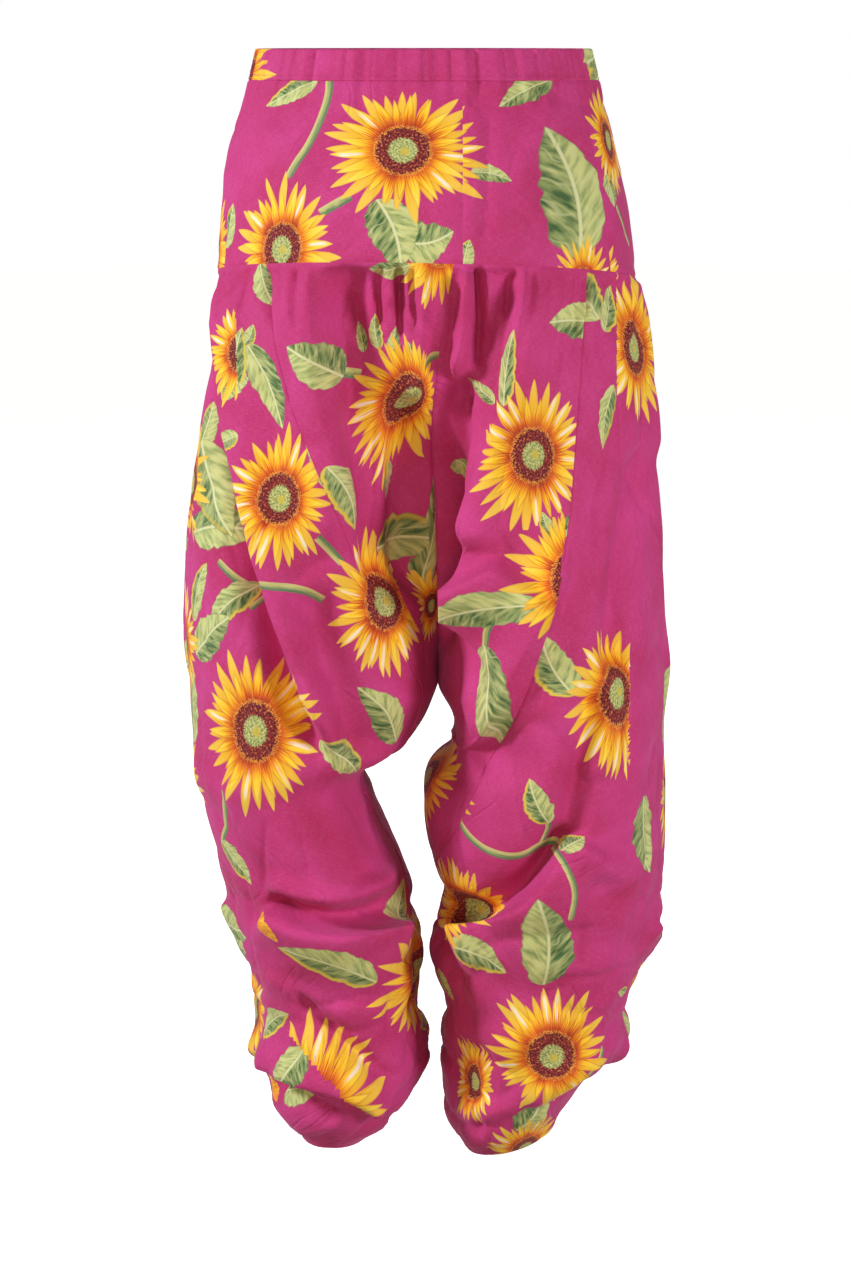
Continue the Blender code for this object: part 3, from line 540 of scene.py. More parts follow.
def leg_noise(points):
    """The uneven hang of the legs: soft waves, thin creases, and bunching above the ankles."""
    z = points[..., 2]
    hang = 0.0022 * field(points, 26, 5, 3.1) + 0.0012 * field(points, 60, 22, 9.7)
    crease = -0.0030 * (1 - abs(field(points, 18, 8, 21.3))) ** 9
    low = smooth_step((-0.72 - z) / 0.08)
    bunch = 0.0055 * field(points, 12, 34, 5.5) - 0.005 * (1 - abs(field(points, 9, 24, 1.7))) ** 6
    return hang + crease + low * bunch


def yoke_noise(points):
    """Soft waves and thin creases of the yoke."""
    crease = -0.0014 * (1 - abs(field(points, 14, 22, 33.0))) ** 8
    return 0.0022 * field(points, 14, 10, 7.7) + 0.0007 * field(points, 50, 60, 2.2) + crease


def casing_wave(angle, z):
    """Gathers of the elastic: full on the casing, dying away down the yoke."""
    draw = np.random.default_rng(WAVE_SEED)
    total = np.zeros_like(angle)
    for count, depth in WAVES:
        swing = 1.5 * np.sin(3 * angle + draw.uniform(0, 6))
        total += depth * np.sin(count * angle + swing + draw.uniform(0, 6))
    pinch = -0.0014 * (1 - abs(np.sin(19.5 * angle + 1.3 * np.sin(5 * angle)))) ** 4
    return (total + pinch) * smooth_step(1 + (z + CASING_DEPTH) / WAVE_FADE)


# ---------------------------------------------------------------- grids of cloth
def differences(surface, first, second, steps):
    """A surface's points with its unit normals, not yet turned outward, and its first tangents."""
    ahead = surface(first + steps[0], second) - surface(first - steps[0], second)
    down = surface(first, second - steps[1]) - surface(first, second + steps[1])
    return surface(first, second), unit(np.cross(ahead, down)), unit(ahead)


def leg_grid(side, shares, edges, folds):
    """The outer face of a leg piece; edges holds how deep each point's seam dips."""
    sign = SIDES[side][0]
    z = np.repeat(LEG_ROWS[:shares.shape[0], None], shares.shape[1], axis=1)
    points, normals, _ = differences(lambda s, h: leg_base(side, s, h), shares, z,
                                     (SHARE_STEP, STEP))
    normals = normals * -sign
    out, along_x, along_z = fold_push(folds, points, sign)
    calm = smooth_step((yoke_seam_height(points[..., 0], points[..., 1]) - points[..., 2])
                       / YOKE_CALM) * smooth_step((z - HEM_Z + 0.004) / HEM_CALM)
    by_centre = smooth_step(np.minimum(shares, 1 - shares) / CENTRE_CALM)
    calm *= np.where(z > CROTCH_Z, by_centre, np.maximum(by_centre, smooth_step((CROTCH_Z - z) / 0.05)))
    push = (out + leg_noise(points)) * calm - edges - SEAM_DIP * (z > YOKE_SEAM_Z - 0.001)
    moved = points + normals * push[..., None]
    moved[..., 0] += along_x * calm
    moved[..., 2] += along_z * calm
    limit = np.where(z >= CROTCH_Z - 1e-6, centre_seam(z), -sign * np.inf)
    moved[..., 0] = sign * np.maximum(sign * moved[..., 0], sign * limit)
    return moved, points


def edge_dips(columns, *at):
    """Depth of the seams at these columns, and a little of it one column further in."""
    dips = np.zeros(columns)
    for column in at:
        near = abs(np.arange(columns) - column % columns)
        dips = np.maximum(dips, np.where(near == 0, SEAM_DIP, np.where(near == 1, SEAM_DIP / 4, 0)))
    return dips


def panel_grid(side, folds):
    """A leg panel from its back seam to its front one; below the gusset it goes all round."""
    spread = np.linspace(0.0, 1.0, PANEL_COLUMNS)
    spread = (1 - BACK_DENSITY) * spread + BACK_DENSITY * spread**2
    rows = []
    for row, z in enumerate(LEG_ROWS):
        start, end = seam_share(side, "back", z), seam_share(side, "front", z)
        if row > TIP_ROW:
            start, end = 0.0, 1.0
        rows.append(start + (end - start) * spread)
    edges = np.tile(edge_dips(PANEL_COLUMNS, 0, -1), (len(LEG_ROWS), 1))
    return leg_grid(side, np.array(rows), edges, folds)


def gusset_grid(side, folds):
    """A gusset's back wing and front wing, side by side in one grid."""
    rows = []
    for z in LEG_ROWS[:TIP_ROW + 1]:
        back, front = seam_share(side, "back", z), seam_share(side, "front", z)
        rows.append(np.concatenate([np.linspace(back, 0.0, WING_COLUMNS),
                                    np.linspace(1.0, front, WING_COLUMNS)]))
    columns = 2 * WING_COLUMNS
    edges = np.tile(edge_dips(columns, 0, -1), (TIP_ROW + 1, 1))
    return leg_grid(side, np.array(rows), edges, folds)


def yoke_grid(start, end, columns):
    """A yoke piece between two of the yoke's upright edges."""
    share = np.repeat(np.linspace(0.0, 1.0, YOKE_ROWS)[:, None], columns, axis=1)
    level = -CASING_DEPTH + share * (YOKE_SEAM_Z + CASING_DEPTH)
    spread = np.linspace(0.0, 1.0, columns)
    angle = yoke_edge(start, level) * (1 - spread) + yoke_edge(end, level) * spread
    points, normals, _ = differences(yoke_base, angle, share, (SHARE_STEP, STEP))
    normals[..., 2] = 0.0
    normals = unit(normals) * np.sign((normals * points).sum(axis=-1, keepdims=True))
    out = fold_push(YOKE_FOLDS, points, 1)[0] + yoke_noise(points)
    calm = smooth_step(share * 8) * smooth_step((1 - share) * 12)
    push = out * calm + casing_wave(angle, points[..., 2]) - edge_dips(columns, 0, -1) * 0.8
    push -= SEAM_DIP * ((share == 0) | (share == 1))
    return points + normals * push[..., None], points


def casing_grid():
    """A closed ring: down its outer face, and back up its inner one, with a rounded top."""
    angles = np.linspace(0.0, 2 * math.pi, CASING_COLUMNS, endpoint=False)
    half = CASING_CLOTH / 2
    turn = np.linspace(0.0, math.pi, 9)
    profile = [(half * math.cos(t) - half, half * math.sin(t) - half) for t in turn[::-1]]
    profile += [(0.0, z) for z in np.linspace(-0.004, -CASING_DEPTH + 0.001, 14)]
    profile += [(-0.0007, -CASING_DEPTH), (-CASING_CLOTH, -CASING_DEPTH)]
    profile += [(-CASING_CLOTH, z) for z in np.linspace(-CASING_DEPTH + 0.004, -0.004, 7)]
    inset, z = np.array(profile).T
    angle, z = np.meshgrid(angles, z)
    x, y = hip_point(angle, np.minimum(z, 0.0))
    length = np.hypot(x, y)
    rows_dip = 0.0006 * np.exp(-((z - CASING_STITCH_Z) / 0.0012) ** 2)
    scale = (length + inset[:, None] + casing_wave(angle, z) - rows_dip) / length
    return np.stack([x * scale, y * scale, z], axis=-1)


def grid_quads(rows, columns, wrapped=False):
    """The quads of a grid of points; wrapped joins its last column to its first."""
    first = np.arange(rows * columns).reshape(rows, columns)
    second = np.roll(first, -1, axis=1)
    quads = np.stack([first[:-1], second[:-1], second[1:], first[1:]], axis=-1)
    return (quads if wrapped else quads[:, :-1]).reshape(-1, 4)


LAYERS = ("flower", "leaf_low", "leaf_top", "stem")
NO_PRINT = (9.0, 9.0, 0.0)  # print coordinates outside every motif


class Cloth:
    """A piece of cloth as a grid of points with its quads, cloth coordinates and print.

    The bare points are the same cloth without its folds: the print is laid out on those.
    """

    def __init__(self, name, grid, quads, bare=None):
        self.name = name
        self.points = grid.reshape(-1, 3)
        self.bare = self.points if bare is None else bare.reshape(-1, 3)
        self.quads = quads
        self.normals = self.point_normals(self.points)
        middle = self.points.mean(axis=0) * (1, 1, 0)
        if ((self.points - middle) * self.normals * (1, 1, 0)).sum() < 0:
            self.quads = quads[:, ::-1]
            self.normals = -self.normals
        self.bare_normals = self.point_normals(self.bare)
        across = np.linalg.norm(np.diff(grid, axis=1, prepend=grid[:, :1]), axis=-1)
        down = np.linalg.norm(np.diff(grid, axis=0, prepend=grid[:1]), axis=-1)
        flat = np.stack([np.cumsum(across, axis=1), np.cumsum(down.mean(axis=1))[:, None]
                         + np.zeros(across.shape)], axis=-1)
        self.flat = flat.reshape(-1, 2)
        self.print = {name: np.full((len(self.quads), 4, 3), NO_PRINT) for name in LAYERS}
        self.nearness = {name: np.full(len(self.quads), np.inf) for name in LAYERS}

    def point_normals(self, points):
        """Unit normals at the points, from the quads round each."""
        a, b, c, d = [points[self.quads[:, corner]] for corner in range(4)]
        faces = np.cross(c - a, d - b)
        total = np.zeros_like(points)
        for corner in range(4):
            np.add.at(total, self.quads[:, corner], faces)
        return unit(total)

    def add_print(self, layer, inside, values, nearness):
        """Gives the faces that lie wholly inside a motif its coordinates, the nearest motif first."""
        chosen = inside[self.quads].all(axis=1)
        closest = nearness[self.quads].min(axis=1)
        chosen &= closest < self.nearness[layer]
        self.print[layer][chosen] = values[self.quads[chosen]]
        self.nearness[layer][chosen] = closest[chosen]


def rim_edges(quads):
    """Directed edges that only one quad uses."""
    edges = np.concatenate([quads[:, [k, (k + 1) % 4]] for k in range(4)])
    size = int(quads.max()) + 1
    forward = edges[:, 0] * size + edges[:, 1]
    backward = edges[:, 1] * size + edges[:, 0]
    return edges[~np.isin(forward, backward)]


def add_item(name, data):
    """An object in the scene that holds a mesh, a light or a camera."""
    item = bpy.data.objects.new(name, data)
    bpy.context.scene.collection.objects.link(item)
    return item


def add_shell(cloth, material, thickness=CLOTH):
    """The cloth as a mesh with an outer face, an inner face and rims."""
    count = len(cloth.points)
    rims = np.zeros((0, 4), int)
    points, faces, layers = cloth.points, cloth.quads, 1
    if thickness:
        edges = rim_edges(cloth.quads)
        rims = np.stack([edges[:, 1], edges[:, 0], edges[:, 0] + count, edges[:, 1] + count], axis=-1)
        points = np.concatenate([points, points - cloth.normals * thickness])
        faces = np.concatenate([faces, cloth.quads[:, ::-1] + count, rims])
        layers = 2
    used, faces = np.unique(faces, return_inverse=True)
    faces = faces.reshape(-1, 4)
    mesh = bpy.data.meshes.new(cloth.name)
    mesh.from_pydata(points[used].tolist(), [], faces.tolist())
    flat = np.concatenate([cloth.flat] * layers)[used][faces.ravel()]
    mesh.uv_layers.new(name="cloth").data.foreach_set("uv", flat.astype(np.float32).ravel())
    for name in LAYERS:
        values = cloth.print[name]
        bare = np.full((len(rims), 4, 3), NO_PRINT)
        parts = [values, values[:, ::-1], bare] if thickness else [values]
        attribute = mesh.attributes.new(name, "FLOAT_VECTOR", "CORNER")
        attribute.data.foreach_set("vector", np.concatenate(parts).astype(np.float32).ravel())
    inner = np.zeros(len(faces))
    if thickness:
        inner[len(cloth.quads):] = 1.0
    mesh.attributes.new("inner_face", "FLOAT", "FACE").data.foreach_set("value", inner)
    mesh.materials.append(material)
    mesh.shade_smooth()
    mesh.set_sharp_from_angle(angle=math.radians(75))
    return add_item(cloth.name, mesh)


# ---------------------------------------------------------------- print
# A flower's wide and high are its half width and half height as printed, turn is in degrees, and
# tilt moves its disc toward (right, up) in shares of its size, as on a flower seen from the side.
# A flower may run on over several pieces. One with a cut shows only to the left of that line,
# for someone who walks along it from its first place to its second.
Flower = namedtuple("Flower", "piece x z wide high turn tilt cut", defaults=[0, (0, 0), None])
FLOWERS = [
    Flower("yoke_back_left", -0.019, -0.088, 0.068, 0.062, 12),
    Flower("yoke_back_right", -0.008, -0.092, 0.068, 0.062, 25),
    Flower("yoke_back_left", -0.127, -0.176, 0.052, 0.066, 40),
    Flower("yoke_front", 0.166, -0.082, 0.024, 0.050, 5),
    Flower("yoke_back_right", 0.141, -0.208, 0.034, 0.044, 70),
    Flower("yoke_front", 0.152, -0.208, 0.030, 0.044, 70),
    Flower("leg_left_panel", -0.128, -0.394, 0.043, 0.064, 15),
    Flower("leg_left_panel leg_left_gusset", -0.035, -0.491, 0.054, 0.067, 60, (0, 0),
           ((0.006, -0.546), (-0.047, -0.425))),
    Flower("leg_left_panel", -0.152, -0.604, 0.063, 0.077, 33),
    Flower("leg_left_panel", -0.006, -0.851, 0.064, 0.062, 51),
    Flower("leg_right_panel", 0.189, -0.266, 0.038, 0.070, 20, (0, 0),
           ((0.172, -0.2), (0.172, -0.4))),
    Flower("leg_right_gusset", 0.097, -0.356, 0.045, 0.068, 80),
    Flower("leg_right_panel", 0.173, -0.582, 0.046, 0.076, 44, (0.15, 0.1),
           ((0.186, -0.7), (0.186, -0.5))),
    Flower("leg_right_gusset leg_right_panel", 0.000, -0.666, 0.050, 0.050, 9, (0, 0),
           ((0.048, -0.8), (0.048, -0.6))),
    Flower("leg_right_panel", 0.040, -0.780, 0.050, 0.054, 66, (0, -0.2),
           ((0.005, -0.830), (0.095, -0.768))),
    Flower("leg_right_panel", 0.113, -0.903, 0.062, 0.062, 28, (0, -0.15)),
    Flower("leg_left_panel", -0.160, -0.266, 0.034, 0.052, 10, (0, 0),
           ((-0.164, -0.35), (-0.169, -0.20))),
    Flower("leg_left_gusset", -0.034, -0.313, 0.041, 0.074, 5, (0.5, 0.05)),
    Flower("leg_right_gusset", 0.133, -0.466, 0.052, 0.072, 50, (0, 0),
           ((0.112, -0.555), (0.126, -0.425))),
    Flower("leg_left_panel", -0.100, -0.946, 0.066, 0.074, 14, (0, 0),
           ((-0.132, -0.886), (-0.052, -0.972))),
    Flower("leg_right_panel", 0.044, -0.945, 0.024, 0.045, 15, (0.2, 0)),
    Flower("leg_left_gusset", 0.014, -0.166, 0.040, 0.062, 35),
    Flower("leg_left_panel", -0.203, -0.309, 0.014, 0.055, 85),
    Flower("leg_right_panel", 0.224, -0.686, 0.020, 0.059, 75),
    Flower("leg_right_panel", 0.094, -1.010, 0.034, 0.043, 30),
    Flower("leg_left_gusset", 0.007, -0.503, 0.020, 0.034, 55),
]

# A leaf runs from its base to its tip and is as wide as it says; a petal is a lone yellow one.
Leaf = namedtuple("Leaf", "piece base tip width kind", defaults=["leaf"])
LEAVES = [
    Leaf("yoke_back_left", (-0.095, -0.027), (-0.144, -0.050), 0.021),
    Leaf("yoke_back_left", (-0.042, -0.130), (-0.020, -0.192), 0.046),
    Leaf("yoke_back_left", (-0.024, -0.166), (0.026, -0.158), 0.039),
    Leaf("leg_left_gusset", (-0.012, -0.187), (-0.050, -0.192), 0.020),
    Leaf("yoke_back_left", (-0.179, -0.178), (-0.172, -0.137), 0.018),
    Leaf("yoke_back_right", (0.118, -0.024), (0.065, -0.052), 0.024),
    Leaf("yoke_back_right", (0.040, -0.107), (0.077, -0.115), 0.016),
    Leaf("yoke_back_right", (0.137, -0.184), (0.111, -0.065), 0.073),
    Leaf("yoke_back_right", (0.034, -0.192), (0.040, -0.165), 0.018),
    Leaf("yoke_front", (0.165, -0.110), (0.170, -0.141), 0.018),
    Leaf("leg_left_panel", (-0.148, -0.188), (-0.128, -0.227), 0.020),
    Leaf("leg_left_panel", (-0.164, -0.296), (-0.166, -0.244), 0.016),
    Leaf("leg_left_panel", (-0.165, -0.282), (-0.177, -0.312), 0.020),
    Leaf("leg_left_panel", (-0.159, -0.261), (-0.152, -0.242), 0.012),
    Leaf("leg_left_panel", (-0.158, -0.257), (-0.125, -0.334), 0.025),
    Leaf("leg_left_panel", (-0.201, -0.348), (-0.166, -0.435), 0.037),
    Leaf("leg_left_panel", (-0.168, -0.339), (-0.189, -0.347), 0.018),
    Leaf("leg_left_gusset", (-0.074, -0.288), (-0.120, -0.260), 0.041),
    Leaf("leg_left_panel", (-0.086, -0.386), (-0.108, -0.320), 0.018),
    Leaf("leg_left_gusset", (-0.085, -0.365), (-0.058, -0.424), 0.034),
    Leaf("leg_left_gusset", (-0.033, -0.367), (-0.034, -0.402), 0.014),
    Leaf("leg_left_gusset", (-0.056, -0.443), (0.008, -0.436), 0.046),
    Leaf("leg_left_gusset", (-0.027, -0.272), (-0.025, -0.243), 0.012),
    Leaf("leg_left_gusset", (-0.010, -0.288), (-0.015, -0.256), 0.012),
    Leaf("leg_left_gusset", (-0.039, -0.264), (-0.045, -0.231), 0.013),
    Leaf("leg_left_gusset", (-0.052, -0.267), (-0.061, -0.239), 0.011),
    Leaf("leg_left_panel", (-0.155, -0.473), (-0.200, -0.518), 0.027),
    Leaf("leg_left_panel", (-0.093, -0.610), (-0.050, -0.664), 0.028),
    Leaf("leg_left_panel", (-0.014, -0.630), (-0.061, -0.562), 0.032),
    Leaf("leg_left_panel", (-0.188, -0.715), (-0.158, -0.752), 0.022),
    Leaf("leg_left_panel", (-0.159, -0.773), (-0.136, -0.799), 0.013, "petal"),
    Leaf("leg_left_panel", (-0.044, -0.841), (-0.129, -0.806), 0.027),
    Leaf("leg_left_panel", (-0.048, -0.825), (-0.096, -0.817), 0.018),
    Leaf("leg_left_panel", (-0.043, -0.803), (-0.008, -0.757), 0.020),
    Leaf("leg_left_panel", (-0.116, -0.907), (-0.136, -0.944), 0.028),
    Leaf("leg_left_panel", (-0.138, -0.960), (-0.094, -0.949), 0.028),
    Leaf("leg_left_panel", (-0.147, -0.948), (-0.130, -0.966), 0.013, "petal"),
    Leaf("leg_right_gusset", (0.072, -0.312), (0.077, -0.243), 0.017),
    Leaf("leg_right_gusset", (0.067, -0.310), (0.035, -0.291), 0.014),
    Leaf("leg_right_gusset", (0.123, -0.429), (0.139, -0.399), 0.014),
    Leaf("leg_right_gusset", (0.118, -0.432), (0.105, -0.406), 0.014),
    Leaf("leg_right_gusset", (0.088, -0.487), (0.010, -0.508), 0.034),
    Leaf("leg_right_gusset", (0.052, -0.526), (0.057, -0.627), 0.036),
    Leaf("leg_right_gusset", (0.037, -0.365), (0.056, -0.402), 0.018),
    Leaf("leg_right_panel", (0.171, -0.296), (0.157, -0.354), 0.017),
    Leaf("leg_right_panel", (0.157, -0.238), (0.135, -0.187), 0.044),
    Leaf("leg_right_gusset", (0.160, -0.242), (0.107, -0.240), 0.034),
    Leaf("leg_right_panel", (0.155, -0.251), (0.175, -0.207), 0.024),
    Leaf("leg_right_panel", (0.134, -0.570), (0.104, -0.514), 0.038),
    Leaf("leg_right_panel", (0.196, -0.672), (0.209, -0.748), 0.032),
    Leaf("leg_right_panel", (0.112, -0.690), (0.094, -0.646), 0.026),
    Leaf("leg_right_panel", (0.124, -0.715), (0.146, -0.695), 0.014),
    Leaf("leg_right_panel", (0.108, -0.840), (0.104, -0.757), 0.048),
    Leaf("leg_right_panel", (0.028, -0.812), (0.070, -0.826), 0.028),
    Leaf("leg_right_panel", (0.192, -0.866), (0.174, -0.856), 0.011),
    Leaf("leg_right_panel", (0.088, -0.990), (0.115, -0.953), 0.032),
    Leaf("leg_right_panel", (0.013, -0.846), (0.022, -0.876), 0.011),
    Leaf("leg_left_gusset", (0.010, -0.495), (0.004, -0.347), 0.013),
]

Stem = namedtuple("Stem", "piece places width")
STEMS = [
    Stem("yoke_back_left", [(-0.088, -0.024), (-0.087, -0.040), (-0.095, -0.071),
                            (-0.105, -0.094), (-0.116, -0.112)], 0.008),
    Stem("yoke_back_left", [(-0.066, -0.128), (-0.092, -0.143)], 0.009),
    Stem("yoke_front", [(0.172, -0.140), (0.180, -0.160), (0.189, -0.176)], 0.005),
    Stem("leg_left_gusset", [(-0.078, -0.284), (-0.055, -0.288)], 0.010),
    Stem("leg_left_gusset", [(-0.007, -0.287), (0.012, -0.262), (0.018, -0.285)], 0.007),
    Stem("leg_left_panel", [(-0.183, -0.455), (-0.156, -0.479), (-0.137, -0.479)], 0.007),
    Stem("leg_left_panel", [(-0.137, -0.480), (-0.153, -0.496)], 0.006),
    Stem("leg_left_panel", [(-0.141, -0.471), (-0.111, -0.474), (-0.093, -0.485)], 0.008),
    Stem("leg_left_panel", [(-0.095, -0.429), (-0.073, -0.452)], 0.008),
    Stem("leg_left_panel", [(-0.174, -0.660), (-0.180, -0.694), (-0.190, -0.720)], 0.007),
    Stem("leg_right_gusset", [(0.075, -0.488), (0.057, -0.506), (0.051, -0.530)], 0.006),
    Stem("leg_right_gusset", [(0.013, -0.525), (0.002, -0.540), (0.004, -0.563)], 0.005),
    Stem("leg_right_panel", [(0.026, -0.696), (0.042, -0.711), (0.065, -0.720), (0.088, -0.721),
                             (0.105, -0.712), (0.120, -0.715)], 0.008),
    Stem("leg_right_panel", [(0.105, -0.711), (0.112, -0.698), (0.112, -0.688)], 0.006),
    Stem("leg_right_panel", [(0.119, -0.714), (0.133, -0.738), (0.136, -0.753),
                             (0.133, -0.772)], 0.006),
    Stem("leg_right_panel", [(0.152, -0.928), (0.168, -0.907)], 0.004),
]

# The sides and the front carry more of the same print: chosen at random, this far apart.
HIDDEN_SEED = 8
HIDDEN_GAP = 0.116
HIDDEN_BACK_Y = -0.045      # the listed motifs cover everything behind this
SMOOTH_REACH = 0.022        # a motif lies along the mean of the normals this near to it
MOTIF_EDGE = 1.14           # a motif's faces reach this far past its size
MOST_STRETCH = 1.5
LEAST_FACING = 0.5          # a face turned further from behind doesn't widen its motifs more
SEEN_PULL = 0.7             # how much a motif listed as seen is turned toward the viewer
PETAL_SEEDS = 1000          # takes the seed of a lone petal below zero, which makes it yellow
TILT_ROUNDS = 4             # rounds that settle the coordinates of a tilted flower
HIDDEN_NUMBER = 100         # hidden motifs are numbered from here, above the listed ones
HIDDEN_TRIES = 900          # places tried on each piece
HIDDEN_SIZE = (0.050, 0.066)
BESIDE_LENGTH = (0.045, 0.085)


def nearest_back(cloth, place):
    """The vertex nearest to this (x, z), where the cloth is well seen from behind."""
    off = np.hypot(cloth.points[:, 0] - place[0], cloth.points[:, 2] - place[1])
    return int(np.argmin(off + 0.5 * (cloth.normals[:, 1] > -0.15)))


def facing_at(cloth, spot, seen):
    """The mean normal round a vertex, turned toward the viewer behind if the motif is as seen."""
    near = np.linalg.norm(cloth.bare - cloth.bare[spot], axis=1) < SMOOTH_REACH
    facing = unit(cloth.bare_normals[near].mean(axis=0))
    return unit(facing + np.array([0.0, -SEEN_PULL, 0.0])) if seen else facing


def chart(cloth, spot, reach, place=None):
    """Flat coordinates, right and up, and which vertices they hold for. They start at the vertex,
    or at the place (x, z) near it as seen from behind, which may lie past the cloth's edge."""
    offset = cloth.bare - cloth.bare[spot]
    far = np.linalg.norm(offset, axis=1)
    facing = facing_at(cloth, spot, place is not None)
    right = unit(np.cross((0.0, 0.0, 1.0), facing))
    up = np.cross(facing, right)
    flat = np.stack([offset @ right, offset @ up], axis=-1)
    length = np.maximum(np.linalg.norm(flat, axis=1), 1e-6)
    flat *= np.clip(far / length, 1.0, MOST_STRETCH)[:, None]
    if place is not None:
        shift = np.array(place) - cloth.points[spot][[0, 2]]
        flat -= (shift[0] / max(abs(facing[1]), LEAST_FACING), shift[1])
        reach = reach + np.hypot(*shift)
    return flat, (far < reach) & (cloth.bare_normals @ facing > -0.5)


def turned(flat, degrees):
    """Flat coordinates turned about their origin."""
    turn = math.radians(degrees)
    return flat @ np.array([[math.cos(turn), -math.sin(turn)], [math.sin(turn), math.cos(turn)]])


def print_flower(cloth, spot, flower, number, place=None):
    """Listed flowers say their sizes as seen, so those on a turned face are wider on the cloth."""
    facing = 1.0 if place is None else max(abs(facing_at(cloth, spot, True)[1]), LEAST_FACING)
    wide, high = flower.wide / facing, flower.high
    flat, near = chart(cloth, spot, 1.5 * max(wide, high), place)
    seen = turned(turned(flat, min(flower.turn, 0)) / (wide, high), abs(flower.turn))
    drawn = seen
    for _ in range(TILT_ROUNDS):
        size = np.linalg.norm(drawn, axis=1, keepdims=True)
        drawn = seen - np.array(flower.tilt) * np.maximum(1 - size, 0.0)
    size = np.linalg.norm(drawn, axis=1)
    if flower.cut:
        start, run = np.array(flower.cut[0]), np.subtract(flower.cut[1], flower.cut[0])
        off = cloth.points[:, [0, 2]] - start
        near &= run[0] * off[:, 1] > run[1] * off[:, 0]
    values = np.concatenate([drawn, np.full((len(drawn), 1), number)], axis=1)
    cloth.add_print("flower", near & (size < MOTIF_EDGE), values, size)


def print_leaf(cloth, spot, ends, leaf, number, place=None):
    """A leaf between two ends in flat coordinates: a runs along it, b is 1 at half its width."""
    base, tip = ends
    length = np.linalg.norm(tip - base)
    flat, near = chart(cloth, spot, 0.9 * length + leaf.width, place)
    axis = (tip - base) / length
    half = leaf.width / 2
    if place is not None:
        squeeze = max(abs(facing_at(cloth, spot, True)[1]), LEAST_FACING)
        half /= np.hypot(axis[1] * squeeze, axis[0])
    off = flat - base
    a = off @ axis / length
    b = (off[:, 1] * axis[0] - off[:, 0] * axis[1]) / half
    bend = 0.35 * math.sin(number * 2.4)
    b = b - bend * np.sin(math.pi * np.clip(a, 0, 1))
    seed = number - PETAL_SEEDS if leaf.kind == "petal" else number
    values = np.stack([a, b, np.full_like(a, seed)], axis=-1)
    inside = near & (a > -0.12) & (a < 1.12) & (abs(b) < 1.45)
    layer = "leaf_top" if number % 2 else "leaf_low"
    cloth.add_print(layer, inside, values, np.hypot(a - 0.5, b / 2))


def print_stem(cloth, spot, line, stem, number, place):
    """A stem along a line in flat coordinates: across is 1 at half its width."""
    total = np.linalg.norm(line[0] - line[-1])
    flat, near = chart(cloth, spot, total + 0.02, place)
    line = rounded(line)
    across, along = beside_line(line, flat[:, 0], flat[:, 1], abs(line[0, 1] - line[-1, 1])
                                > abs(line[0, 0] - line[-1, 0]))
    half = stem.width / 2
    inside = near & (abs(across) < half + 0.006) & (along > -0.1) & (along < 1.1)
    values = np.stack([along, across / half, np.full_like(along, number)], axis=-1)
    cloth.add_print("stem", inside, values, abs(across))


def around(cloth, spot, middle, places):
    """Places (x, z) as seen from behind, in the flat coordinates round the middle one."""
    squeeze = max(abs(facing_at(cloth, spot, True)[1]), LEAST_FACING)
    return (np.array(places) - middle) / (squeeze, 1.0)


def print_back(cloths):
    """The listed motifs, which show from behind."""
    for number, flower in enumerate(FLOWERS):
        place = (flower.x, flower.z)
        for piece in flower.piece.split():
            cloth = cloths[piece]
            print_flower(cloth, nearest_back(cloth, place), flower, number, place)
    for number, leaf in enumerate(LEAVES):
        cloth = cloths[leaf.piece]
        middle = (np.array(leaf.base) + leaf.tip) / 2
        spot = nearest_back(cloth, middle)
        ends = around(cloth, spot, middle, [leaf.base, leaf.tip])
        print_leaf(cloth, spot, ends, leaf, number, middle)
    for number, stem in enumerate(STEMS):
        cloth = cloths[stem.piece]
        middle = np.mean(stem.places, axis=0)
        spot = nearest_back(cloth, middle)
        print_stem(cloth, spot, around(cloth, spot, middle, stem.places), stem, number, middle)


def print_hidden(cloths):
    """Flowers with a leaf or two beside them, all over the sides and the front."""
    draw = np.random.default_rng(HIDDEN_SEED)
    taken = []
    for flower in FLOWERS:
        cloth = cloths[flower.piece.split()[0]]
        taken.append(tuple(cloth.points[nearest_back(cloth, (flower.x, flower.z))]))
    number = HIDDEN_NUMBER
    for name, cloth in cloths.items():
        hidden = np.flatnonzero((cloth.points[:, 1] > HIDDEN_BACK_Y) | (name == "waist_casing"))
        for spot in draw.permutation(hidden)[:HIDDEN_TRIES]:
            place = cloth.points[spot]
            if min(math.dist(place, other) for other in taken) < HIDDEN_GAP:
                continue
            taken.append(tuple(place))
            number += 1
            size = draw.uniform(*HIDDEN_SIZE)
            squash = draw.choice([1.0, 1.0, 0.62])
            tilt = (0.0, 0.35) if squash < 1 else (0.0, 0.0)
            flower = Flower(name, 0, 0, size, size * squash, draw.uniform(0, 90), tilt)
            print_flower(cloth, spot, flower, number)
            add_beside(cloth, spot, size, draw, number)


def add_beside(cloth, spot, size, draw, number):
    """Leaves just outside a hidden flower."""
    for k, turn in enumerate(draw.uniform(0, 2 * math.pi, 3)):
        length = draw.uniform(*BESIDE_LENGTH)
        leaf = Leaf("", None, None, length * draw.uniform(0.40, 0.60))
        out = np.array([math.cos(turn), math.sin(turn)])
        toward = np.array([-out[0] * cloth.normals[spot, 1], out[0] * cloth.normals[spot, 0], out[1]])
        centre = cloth.points[spot] + toward * (size * 0.9 + length / 2)
        middle = int(np.argmin(np.linalg.norm(cloth.points - centre, axis=1)))
        if np.linalg.norm(cloth.points[middle] - centre) < length / 2:
            bent = np.array([out[0] - 0.5 * out[1], out[1] + 0.5 * out[0]]) / 1.118
            print_leaf(cloth, middle, (-bent * length / 2, bent * length / 2), leaf, number + 40 * k)


